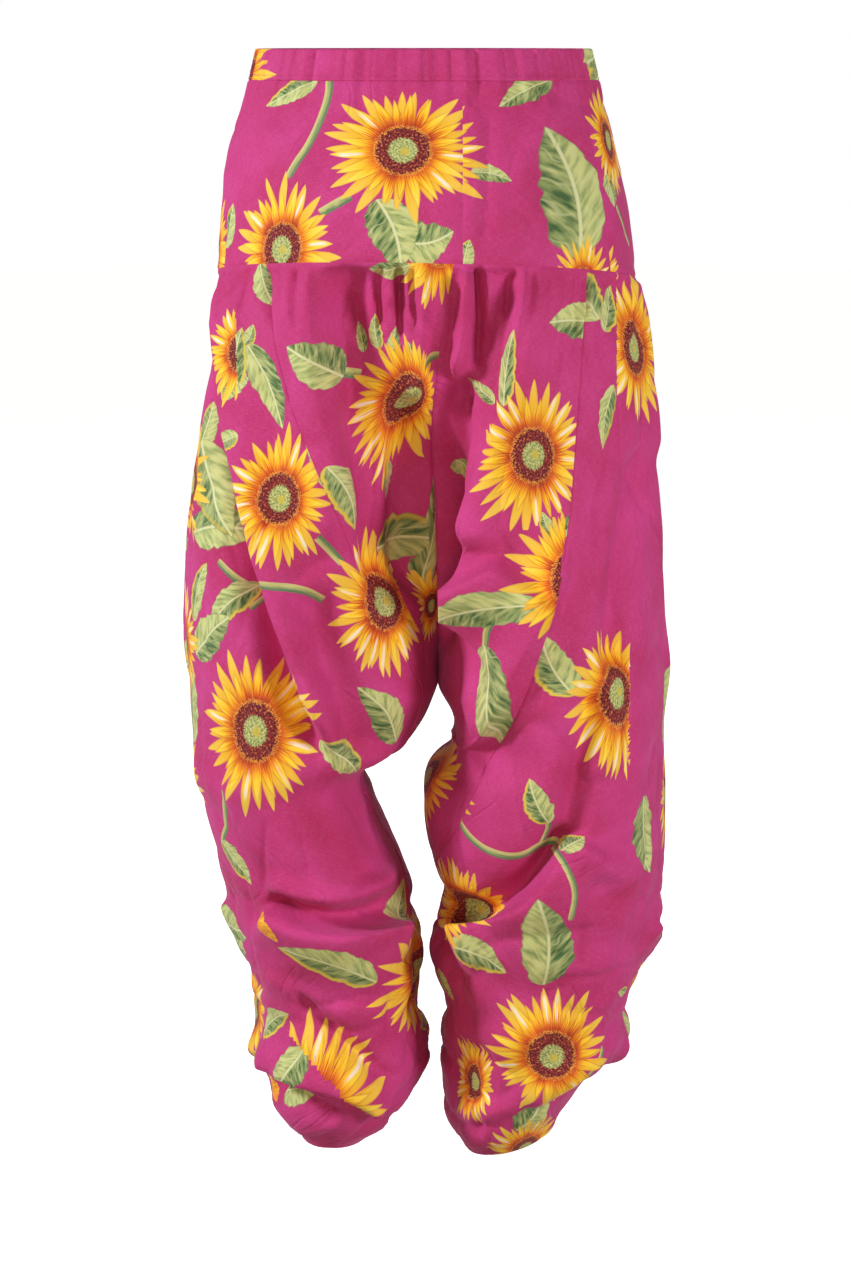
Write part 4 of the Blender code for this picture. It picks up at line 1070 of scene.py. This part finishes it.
# ---------------------------------------------------------------- materials
def colour(red, green, blue):
    """A colour from its 0 to 255 screen values."""
    def linear(value):
        value /= 255
        return value / 12.92 if value <= 0.04045 else ((value + 0.055) / 1.055) ** 2.4
    return (linear(red), linear(green), linear(blue), 1.0)


MAGENTA_PALE = colour(206, 68, 140)
MAGENTA_DEEP = colour(172, 32, 76)
THREAD = colour(176, 40, 108)
WEAVE = 9000                # radians of weave a metre: one wave every 0.7 mm


class Value:
    """A node's output that can be added, multiplied and so on, so a pattern reads as a formula."""

    def __init__(self, pattern, socket):
        self.pattern, self.socket = pattern, socket

    def __add__(self, other):
        return self.pattern.maths("ADD", self, other)

    def __sub__(self, other):
        return self.pattern.maths("SUBTRACT", self, other)

    def __rsub__(self, other):
        return self.pattern.maths("SUBTRACT", other, self)

    def __mul__(self, other):
        return self.pattern.maths("MULTIPLY", self, other)

    def __truediv__(self, other):
        return self.pattern.maths("DIVIDE", self, other)

    __radd__, __rmul__ = __add__, __mul__


class Pattern:
    """Makes the nodes of one material."""

    def __init__(self, name):
        self.material = bpy.data.materials.new(name)
        self.material.use_nodes = True
        self.tree = self.material.node_tree
        self.shader = self.tree.nodes["Principled BSDF"]

    def node(self, kind, inputs, **settings):
        made = self.tree.nodes.new("ShaderNode" + kind)
        for key, value in settings.items():
            setattr(made, key, value)
        for key, value in inputs.items():
            self.feed(made.inputs[key], value)
        return made

    def feed(self, socket, value):
        if isinstance(value, Value):
            self.tree.links.new(value.socket, socket)
        else:
            socket.default_value = value

    def maths(self, operation, *values):
        made = self.node("Math", dict(enumerate(values)), operation=operation)
        return Value(self, made.outputs[0])

    def attribute(self, name, output="Vector"):
        made = self.node("Attribute", {}, attribute_name=name)
        return Value(self, made.outputs[output])

    def split(self, vector):
        made = self.node("SeparateXYZ", {0: vector})
        return [Value(self, made.outputs[axis]) for axis in range(3)]

    def join(self, x, y, z):
        return Value(self, self.node("CombineXYZ", {0: x, 1: y, 2: z}).outputs[0])

    def noise(self, vector, scale=1.0, detail=1.0):
        made = self.node("TexNoise", {"Vector": vector, "Scale": scale, "Detail": detail})
        return Value(self, made.outputs[0])

    def chance(self, *numbers):
        """Three random numbers from 0 to 1 that depend on these."""
        made = self.node("TexWhiteNoise", {"Vector": self.join(*numbers)})
        return self.split(Value(self, made.outputs["Color"]))

    def smooth(self, value, low, high):
        """0 where the value is at low, 1 at high, and smooth between."""
        made = self.node("MapRange", {0: value, 1: low, 2: high}, interpolation_type="SMOOTHSTEP")
        return Value(self, made.outputs[0])

    def mix(self, share, first, second):
        made = self.node("Mix", {0: share, 6: first, 7: second}, data_type="RGBA")
        return Value(self, made.outputs[2])

    def ramp(self, value, stops):
        made = self.node("ValToRGB", {0: value})
        elements = made.color_ramp.elements
        while len(elements) < len(stops):
            elements.new(0.5)
        for element, (place, shade) in zip(elements, stops):
            element.position = place
            element.color = shade
        return Value(self, made.outputs[0])


PETAL_STOPS = [
    (0.29, colour(104, 30, 18)),
    (0.36, colour(176, 52, 20)),
    (0.42, colour(218, 92, 16)),
    (0.49, colour(242, 156, 16)),
    (0.57, colour(253, 208, 34)),
    (0.86, colour(255, 230, 82)),
]


# A ring's petals, their length in shares of the flower's size, how far the ring is shifted in shares
# of a petal, and how they taper: the lower, the blunter.
PetalRing = namedtuple("PetalRing", "count length shift taper")
BACK_PETALS = PetalRing(25, 1.06, 0.37, 0.80)
FRONT_PETALS = PetalRing(21, 0.98, 0.0, 0.94)
DISC_FADE = (0.37, 0.34)    # the disc's edge, in shares of the flower's size
DISC_RIM = 0.36
HEART_FADE = (0.200, 0.170)


def petal_ring(p, rho, turn, seed, ring):
    """One ring of petals: how much it covers, its colour, and chances for each petal."""
    sector = turn * ring.count + ring.shift
    index = p.maths("FLOOR", sector)
    chance = p.chance(p.maths("MODULO", index + ring.count, ring.count), seed + ring.shift, 0.0)
    reach = ring.length * (0.76 + 0.28 * chance[0])
    along = rho / reach
    side = sector - index - 0.5 + (chance[1] - 0.5) * 0.34 + (chance[2] - 0.5) * (along - 0.4) * 0.7
    left = p.maths("MAXIMUM", 1 - along, 0.0)
    half = 1.15 * p.maths("POWER", left, ring.taper)
    edge = half - p.maths("ABSOLUTE", side)
    cover = p.smooth(edge, 0.0, 0.05)
    streak = p.noise(p.join(side * 18 + index * 5.3, rho * 2.4, seed), 1.0, 2.0)
    tone = rho + (streak - 0.5) * 0.62 + (chance[2] - 0.5) * 0.10
    shade = p.ramp(tone, PETAL_STOPS)
    outline = p.smooth(edge, 0.16, 0.0) * p.smooth(rho, 1.05, 0.5) * (0.4 + streak)
    shade = p.mix(p.maths("MINIMUM", outline, 0.85), shade, colour(190, 88, 26))
    return cover, shade, (chance, side, along, streak)


def draw_flower(p, ground):
    """Two rings of petals, a speckled disc with a dotted rim, and a ragged green heart."""
    place = p.attribute("flower")
    x, y, seed = p.split(place)
    seed = p.maths("ROUND", seed)
    rho = p.maths("SQRT", x * x + y * y)
    turn = p.maths("ARCTAN2", y, x) / (2 * math.pi) + 0.5
    back, back_shade, _ = petal_ring(p, rho, turn, seed, BACK_PETALS)
    front, front_shade, petal = petal_ring(p, rho, turn, seed, FRONT_PETALS)
    chance, side, along, streak = petal
    back_shade = p.mix(0.30, back_shade, colour(214, 120, 24))
    shine = p.smooth(chance[0], 0.62, 0.70) * p.smooth(p.maths("ABSOLUTE", side - 0.05), 0.16, 0.05)
    shine = shine * p.smooth(p.maths("ABSOLUTE", along - 0.70), 0.22, 0.08) * p.smooth(streak, 0.3, 0.5)
    front_shade = p.mix(shine * 0.9, front_shade, colour(250, 244, 226))
    shade = p.mix(front, back_shade, front_shade)
    rough = p.noise(place, 9.0, 2.0) - 0.5
    fine = p.noise(place, 34.0, 2.0)
    disc = rho + rough * 0.05
    speckle = p.mix(p.smooth(fine, 0.42, 0.58), colour(84, 24, 30), colour(150, 50, 36))
    speckle = p.mix(p.smooth(fine, 0.60, 0.66) * 0.7, speckle, colour(222, 150, 84))
    shade = p.mix(p.smooth(disc, *DISC_FADE), shade, speckle)
    dots = p.smooth(p.maths("ABSOLUTE", p.maths("FRACT", turn * 38 + rough * 9) - 0.5), 0.34, 0.22)
    rim = p.smooth(p.maths("ABSOLUTE", disc - DISC_RIM + (fine - 0.5) * 0.12), 0.035, 0.015) * dots
    shade = p.mix(rim * 0.8, shade, colour(238, 164, 60))
    ragged = rho + (p.noise(p.join(turn * 60, rho * 5, seed), 1.0, 2.0) - 0.5) * 0.13
    green = p.mix(p.smooth(fine, 0.38, 0.62), colour(126, 148, 74), colour(206, 210, 132))
    shade = p.mix(p.smooth(ragged, *HEART_FADE), shade, green)
    spot = p.maths("SQRT", (x - 0.02) * (x - 0.02) + (y + 0.02) * (y + 0.02))
    shade = p.mix(p.smooth(spot, 0.085, 0.04) * 0.8, shade, colour(206, 190, 62))
    inside = p.maths("MAXIMUM", front, back)
    inside = p.maths("MAXIMUM", inside, p.smooth(rho, 0.45, 0.43))
    return p.mix(inside, ground, shade)


def draw_leaf(p, ground, layer):
    """A leaf with a pale and a deep side, veins and an uneven edge; a petal is plain gold."""
    a, b, seed = p.split(p.attribute(layer))
    seed = p.maths("ROUND", seed)
    chance = p.chance(seed, 3.0, 0.0)
    kept = p.maths("MAXIMUM", p.maths("MINIMUM", a, 1.0), 0.0)
    outline = 2.557 * p.maths("POWER", kept, 0.55) * p.maths("POWER", 1 - kept, 0.85)
    size = p.maths("ABSOLUTE", b)
    ripple = (p.noise(p.join(a * 8, seed, p.maths("SIGN", b) * 3)) - 0.5) * 0.55
    edge = outline * (1 + ripple) - size
    cover = p.smooth(edge, 0.0, 0.07) * p.maths("LESS_THAN", size, 2.0)
    slant = a - size * 0.22
    streak = p.noise(p.join(slant * 15, size * 1.6, seed + b * 0.4), 1.0, 3.0)
    vein = p.maths("PINGPONG", slant * 4.2 + (p.noise(p.join(a * 5, b, seed)) - 0.5) * 1.4 + seed, 0.5)
    side = p.smooth(b * (1 - 2 * p.maths("LESS_THAN", chance[0], 0.5)), -0.3, 0.3)
    pale = p.mix(streak, colour(226, 228, 152), colour(160, 186, 96))
    deep = p.mix(streak, colour(104, 142, 74), colour(34, 74, 40))
    shade = p.mix(side * 0.6 + (streak - 0.5) * 2.2 + 0.1, pale, deep)
    shade = p.mix(p.smooth(vein, 0.07, 0.02) * p.smooth(size, 0.05, 0.2) * 0.45, shade,
                  colour(206, 216, 150))
    shade = p.mix(p.smooth(size, 0.075, 0.035), shade, colour(214, 222, 160))
    yellow = p.smooth(edge, 0.34, 0.16) * side * p.smooth(chance[1], 0.35, 0.6)
    shade = p.mix(yellow, shade, colour(222, 200, 74))
    shade = p.mix(p.smooth(edge, 0.09, 0.03) * 0.7, shade, colour(96, 124, 66))
    gold = p.mix(p.smooth(streak, 0.3, 0.7), colour(250, 200, 44), colour(228, 126, 30))
    shade = p.mix(p.maths("LESS_THAN", seed, -0.5), shade, gold)
    return p.mix(cover, ground, shade)


def draw_stem(p, ground):
    """A stem, paler along one side."""
    along, across, seed = p.split(p.attribute("stem"))
    seed = p.maths("ROUND", seed)
    inside = p.smooth(p.maths("ABSOLUTE", across), 1.0, 0.82)
    inside = inside * p.smooth(along, -0.04, 0.0) * p.smooth(along, 1.04, 1.0)
    streak = p.noise(p.join(along * 3, across * 2, seed), 1.0, 2.0)
    shade = p.mix(p.smooth(across + (streak - 0.5) * 1.6, -0.7, 0.7), colour(204, 204, 124),
                  colour(92, 128, 84))
    return p.mix(inside, ground, shade)


def cloth_material(name, printed=True):
    """Fine cotton: dyed ground, print, slubs and weave, with a soft sheen."""
    p = Pattern(name)
    flat = Value(p, p.node("UVMap", {}, uv_map="cloth").outputs[0])
    u, v, _ = p.split(flat)
    cloud = p.noise(flat, 14.0, 2.0)
    slub = p.noise(p.join(u * 160, v * 1900, 0.0)) + p.noise(p.join(u * 1900, v * 160, 5.0))
    tone = cloud * 1.4 + slub * 0.30 - 0.45
    ground = p.mix(tone, MAGENTA_DEEP, MAGENTA_PALE)
    if printed:
        ground = draw_stem(p, ground)
        ground = draw_leaf(p, ground, "leaf_low")
        ground = draw_leaf(p, ground, "leaf_top")
        ground = draw_flower(p, ground)
        inner = p.attribute("inner_face", "Fac")
        ground = p.mix(inner * 0.45, ground, MAGENTA_PALE)
    thread = p.mix((slub - 0.92) * 0.10, ground, colour(255, 225, 240))
    p.feed(p.shader.inputs["Base Color"], thread)
    p.shader.inputs["Roughness"].default_value = 0.7
    p.shader.inputs["Specular IOR Level"].default_value = 0.16
    p.shader.inputs["Sheen Weight"].default_value = 0.10
    p.shader.inputs["Sheen Roughness"].default_value = 0.4
    p.shader.inputs["Sheen Tint"].default_value = (1.0, 0.6, 0.88, 1.0)
    weave = p.maths("SINE", u * WEAVE) * p.maths("SINE", v * WEAVE)
    crumple = p.noise(p.join(u * 60, v * 26, 2.0), 1.0, 3.0)
    bent = p.noise(flat, 9.0, 2.0) * 0.06
    ridge = p.maths("ABSOLUTE", p.noise(p.join((u + bent) * 34, (v - bent) * 11, 7.0), 1.0, 1.0) - 0.5)
    crease = p.smooth(ridge, 0.05, 0.0) * p.smooth(p.noise(flat, 13.0), 0.45, 0.65)
    height = crumple * 0.9 - crease * 0.6 + slub * 0.03 + weave * 0.02
    bump = p.node("Bump", {"Strength": 0.6, "Distance": 0.002, "Height": height})
    p.feed(p.shader.inputs["Normal"], Value(p, bump.outputs[0]))
    return p.material


def thread_material():
    """Twisted sewing thread."""
    p = Pattern("sewing_thread")
    place = Value(p, p.node("TexCoord", {}).outputs["Object"])
    twist = p.noise(place, 2600.0, 1.0)
    p.feed(p.shader.inputs["Base Color"], p.mix(twist, THREAD, MAGENTA_DEEP))
    p.shader.inputs["Roughness"].default_value = 0.6
    p.shader.inputs["Sheen Weight"].default_value = 0.2
    bump = p.node("Bump", {"Strength": 0.4, "Distance": 0.0003, "Height": twist})
    p.feed(p.shader.inputs["Normal"], Value(p, bump.outputs[0]))
    return p.material


def plain_material(name, shade, roughness):
    """One even colour, for the floor."""
    p = Pattern(name)
    p.shader.inputs["Base Color"].default_value = shade
    p.shader.inputs["Roughness"].default_value = roughness
    return p.material


# ---------------------------------------------------------------- stitches
STITCH_PITCH = 0.0031
STITCH_LENGTH = 0.0022
STITCH_HALF = 0.00028       # half the thread's width
STITCH_LIFT = 0.00022       # how far a stitch stands off the cloth
STITCH_SIDES = 6
# Sections along a stitch: share of its length, and shares of STITCH_HALF and STITCH_LIFT.
Section = namedtuple("Section", "along width lift")
STITCH_SECTIONS = [
    Section(0.0, 0.35, -1.0),
    Section(0.2, 0.9, 0.7),
    Section(0.5, 1.0, 1.0),
    Section(0.8, 0.9, 0.7),
    Section(1.0, 0.35, -1.0),
]


def add_stitches(name, line, normals, material):
    """Short flattened lengths of thread along a closed line, joined into one mesh."""
    line = np.concatenate([line, line[:1]])
    normals = np.concatenate([normals, normals[:1]])
    lengths = np.concatenate([[0.0], np.cumsum(np.linalg.norm(np.diff(line, axis=0), axis=1))])
    starts = np.arange(0.0, lengths[-1] - STITCH_PITCH / 2, STITCH_PITCH)
    along, widths, lifts = np.array(STITCH_SECTIONS).T
    widths = STITCH_HALF * widths
    lifts = STITCH_LIFT * lifts
    last = len(STITCH_SECTIONS) - 1
    points, faces = [], []
    for start in starts:
        stations = start + STITCH_LENGTH * along
        middle = np.stack([np.interp(stations, lengths, line[:, k]) for k in range(3)], axis=-1)
        facing = unit(np.stack([np.interp(stations, lengths, normals[:, k]) for k in range(3)], -1))
        beside = unit(np.cross(facing, unit(middle[-1] - middle[0])))
        first = len(points)
        for k in range(last + 1):
            centre = middle[k] + facing[k] * lifts[k]
            for turn in range(STITCH_SIDES):
                angle = turn * math.pi * 2 / STITCH_SIDES
                points.append(centre + widths[k] * (math.cos(angle) * beside[k]
                                                    + math.sin(angle) * facing[k]))
        for k in range(last):
            ring = first + k * STITCH_SIDES
            for turn in range(STITCH_SIDES):
                here, ahead = ring + turn, ring + (turn + 1) % STITCH_SIDES
                faces.append((here, ahead, ahead + STITCH_SIDES, here + STITCH_SIDES))
        end = first + last * STITCH_SIDES
        faces.append(tuple(first + turn for turn in reversed(range(STITCH_SIDES))))
        faces.append(tuple(end + turn for turn in range(STITCH_SIDES)))
    mesh = bpy.data.meshes.new(name)
    mesh.from_pydata([tuple(point) for point in points], [], faces)
    mesh.materials.append(material)
    mesh.shade_smooth()
    return add_item(name, mesh)


# ---------------------------------------------------------------- the pants
Sheet = namedtuple("Sheet", "slot width length area rests_on")
SHEETS = {
    "waist_casing": Sheet("casing_cotton", 1.02, 0.031, 0.0316, []),
    "yoke_back_left": Sheet("yoke_cotton", 0.25, 0.19, 0.047, ["waist_casing"]),
    "yoke_back_right": Sheet("yoke_cotton", 0.15, 0.19, 0.028, ["waist_casing"]),
    "yoke_front": Sheet("yoke_cotton", 0.60, 0.19, 0.114, ["waist_casing"]),
    "leg_left_panel": Sheet("leg_cotton", 0.74, 0.84, 0.60, ["yoke_back_left", "yoke_front"]),
    "leg_left_gusset": Sheet("leg_cotton", 0.24, 1.16, 0.16, ["yoke_back_left", "yoke_front"]),
    "leg_right_panel": Sheet("leg_cotton", 0.70, 0.84, 0.56, ["yoke_back_right", "yoke_front"]),
    "leg_right_gusset": Sheet("leg_cotton", 0.28, 1.16, 0.20, ["yoke_back_right", "yoke_front"]),
}


def gusset_quads():
    """Both wings of a gusset, joined along its middle under the crotch."""
    columns = 2 * WING_COLUMNS
    quads = grid_quads(TIP_ROW + 1, columns)
    bridge = quads[:, 0] % columns == WING_COLUMNS - 1
    quads = quads[~bridge]
    row, column = np.divmod(quads, columns)
    joined = (row >= CROTCH_ROW) & (column == WING_COLUMNS)
    return quads - joined


Yoke = namedtuple("Yoke", "name start end columns")
YOKES = [
    Yoke("yoke_back_left", "left", "join", 104),
    Yoke("yoke_back_right", "join", "right", 70),
    Yoke("yoke_front", "right", "left, all round", 180),
]


def make_cloths():
    """Every piece of cloth by its name."""
    gathers = random_gathers()
    cloths = {}
    casing = casing_grid()
    ring = casing.transpose(1, 0, 2)
    quads = grid_quads(CASING_COLUMNS, ring.shape[1], wrapped=True)
    rows = np.arange(CASING_COLUMNS * ring.shape[1]).reshape(CASING_COLUMNS, -1)
    last = grid_quads(2, ring.shape[1], wrapped=True)
    last = np.where(last < ring.shape[1], rows[-1][last % ring.shape[1]], rows[0][last % ring.shape[1]])
    cloths["waist_casing"] = Cloth("waist_casing", ring, np.concatenate([quads, last]))
    for yoke in YOKES:
        grid, bare = yoke_grid(yoke.start, yoke.end, yoke.columns)
        cloths[yoke.name] = Cloth(yoke.name, grid, grid_quads(YOKE_ROWS, yoke.columns), bare)
    for side in SIDES:
        folds = LEG_FOLDS[side] + gathers[side]
        name = f"leg_{side}_panel"
        grid, bare = panel_grid(side, folds)
        cloths[name] = Cloth(name, grid, grid_quads(len(LEG_ROWS), PANEL_COLUMNS), bare)
        name = f"leg_{side}_gusset"
        grid, bare = gusset_grid(side, folds)
        cloths[name] = Cloth(name, grid, gusset_quads(), bare)
    return cloths


def add_pants():
    """The printed pieces with their stitches, on the body that carries them."""
    cloths = make_cloths()
    print_back(cloths)
    print_hidden(cloths)
    materials = {sheet.slot: cloth_material(sheet.slot + "_print") for sheet in SHEETS.values()}
    thread = thread_material()
    for name, cloth in cloths.items():
        sheet = SHEETS[name]
        cloth.name = name + "_cloth"
        thickness = 0.0 if name == "waist_casing" else CLOTH
        piece = add_shell(cloth, materials[sheet.slot], thickness)
        going = []
        if name.endswith("panel"):
            rows = cloth.points.reshape(len(LEG_ROWS), PANEL_COLUMNS, 3)
            facing = cloth.normals.reshape(rows.shape)
            going.append(add_stitches(name + "_hem_stitches", rows[HEM_STITCH_ROW],
                                      facing[HEM_STITCH_ROW], thread))
        if name == "waist_casing":
            ring = cloth.points.reshape(CASING_COLUMNS, -1, 3)
            facing = cloth.normals.reshape(ring.shape)
            going.append(add_stitches("casing_stitches", ring[:, CASING_STITCH_ROW],
                                      facing[:, CASING_STITCH_ROW], thread))
        for item in [piece, *going]:
            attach(item, "root")
        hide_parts(name)
        [other + "_cloth" for other in sheet.rests_on]


# ---------------------------------------------------------------- studio
CAMERA_PLACE = (0.001, -3.60, 0.02)
CAMERA_PITCH = 8.919        # degrees down
CAMERA_LENS = 110
FLOOR_Z = -1.045
FLOOR_RADIUS = 14.0
WORLD_LIGHT = 0.22
Light = namedtuple("Light", "name place target size power shade")
LIGHTS = [
    Light("left_window", (-2.4, -1.0, 0.8), (0, 0, -0.44), 0.4, 66, (0.96, 0.97, 1.16)),
    Light("right_window", (2.0, -1.6, -0.1), (0, 0, -0.66), 0.6, 36, (0.98, 0.95, 1.10)),
    Light("low_fill", (-0.3, -2.4, -0.8), (0, 0, -0.75), 1.0, 19, (1.0, 0.76, 0.58)),
    Light("back", (0.6, 3.2, 1.5), (0, 0, -0.4), 2.4, 40, (1.0, 1.0, 1.0)),
]


def add_camera():
    """A camera behind the wearer, looking a little down."""
    data = bpy.data.cameras.new("camera")
    data.lens = CAMERA_LENS
    data.sensor_width = 36
    camera = add_item("camera", data)
    camera.location = CAMERA_PLACE
    camera.rotation_euler = (math.radians(90 - CAMERA_PITCH), 0, 0)
    bpy.context.scene.camera = camera


def add_light(name, place, target, size, power, shade):
    """A square area light at a place, facing its target."""
    data = bpy.data.lights.new(name, "AREA")
    data.size = size
    data.energy = power
    data.color = shade
    light = add_item(name, data)
    light.location = place
    light.rotation_euler = (Vector(target) - Vector(place)).to_track_quat("-Z", "Y").to_euler()


def add_floor():
    """A pale floor that glows, so that it melts into the white backdrop, and lights nothing."""
    turns = np.linspace(0.0, 2 * math.pi, 96, endpoint=False)
    points = [(FLOOR_RADIUS * math.cos(t), FLOOR_RADIUS * math.sin(t), FLOOR_Z) for t in turns]
    mesh = bpy.data.meshes.new("floor")
    mesh.from_pydata(points, [], [tuple(range(len(points)))])
    material = plain_material("pale_floor", (0.82, 0.81, 0.80, 1.0), 0.6)
    shader = material.node_tree.nodes["Principled BSDF"]
    shader.inputs["Emission Color"].default_value = (1.0, 1.0, 1.0, 1.0)
    shader.inputs["Emission Strength"].default_value = 0.85
    mesh.materials.append(material)
    floor = add_item("floor", mesh)
    floor.visible_diffuse = False


def add_world():
    """Soft light from all round, with a white backdrop behind the object."""
    world = bpy.data.worlds.new("studio")
    world.use_nodes = True
    tree = world.node_tree
    soft = tree.nodes["Background"]
    soft.inputs["Color"].default_value = (1.0, 0.82, 0.74, 1.0)
    soft.inputs["Strength"].default_value = WORLD_LIGHT
    white = tree.nodes.new("ShaderNodeBackground")
    path = tree.nodes.new("ShaderNodeLightPath")
    mixed = tree.nodes.new("ShaderNodeMixShader")
    tree.links.new(path.outputs["Is Camera Ray"], mixed.inputs[0])
    tree.links.new(soft.outputs[0], mixed.inputs[1])
    tree.links.new(white.outputs[0], mixed.inputs[2])
    white.inputs["Color"].default_value = (1.0, 1.0, 1.0, 1.0)
    tree.links.new(mixed.outputs[0], tree.nodes["World Output"].inputs["Surface"])
    bpy.context.scene.world = world


def add_studio():
    """The camera, the floor, the world and the lights."""
    add_camera()
    add_floor()
    add_world()
    for light in LIGHTS:
        add_light(*light)
    bpy.context.scene.view_settings.view_transform = "Standard"


add_pants()
add_studio()
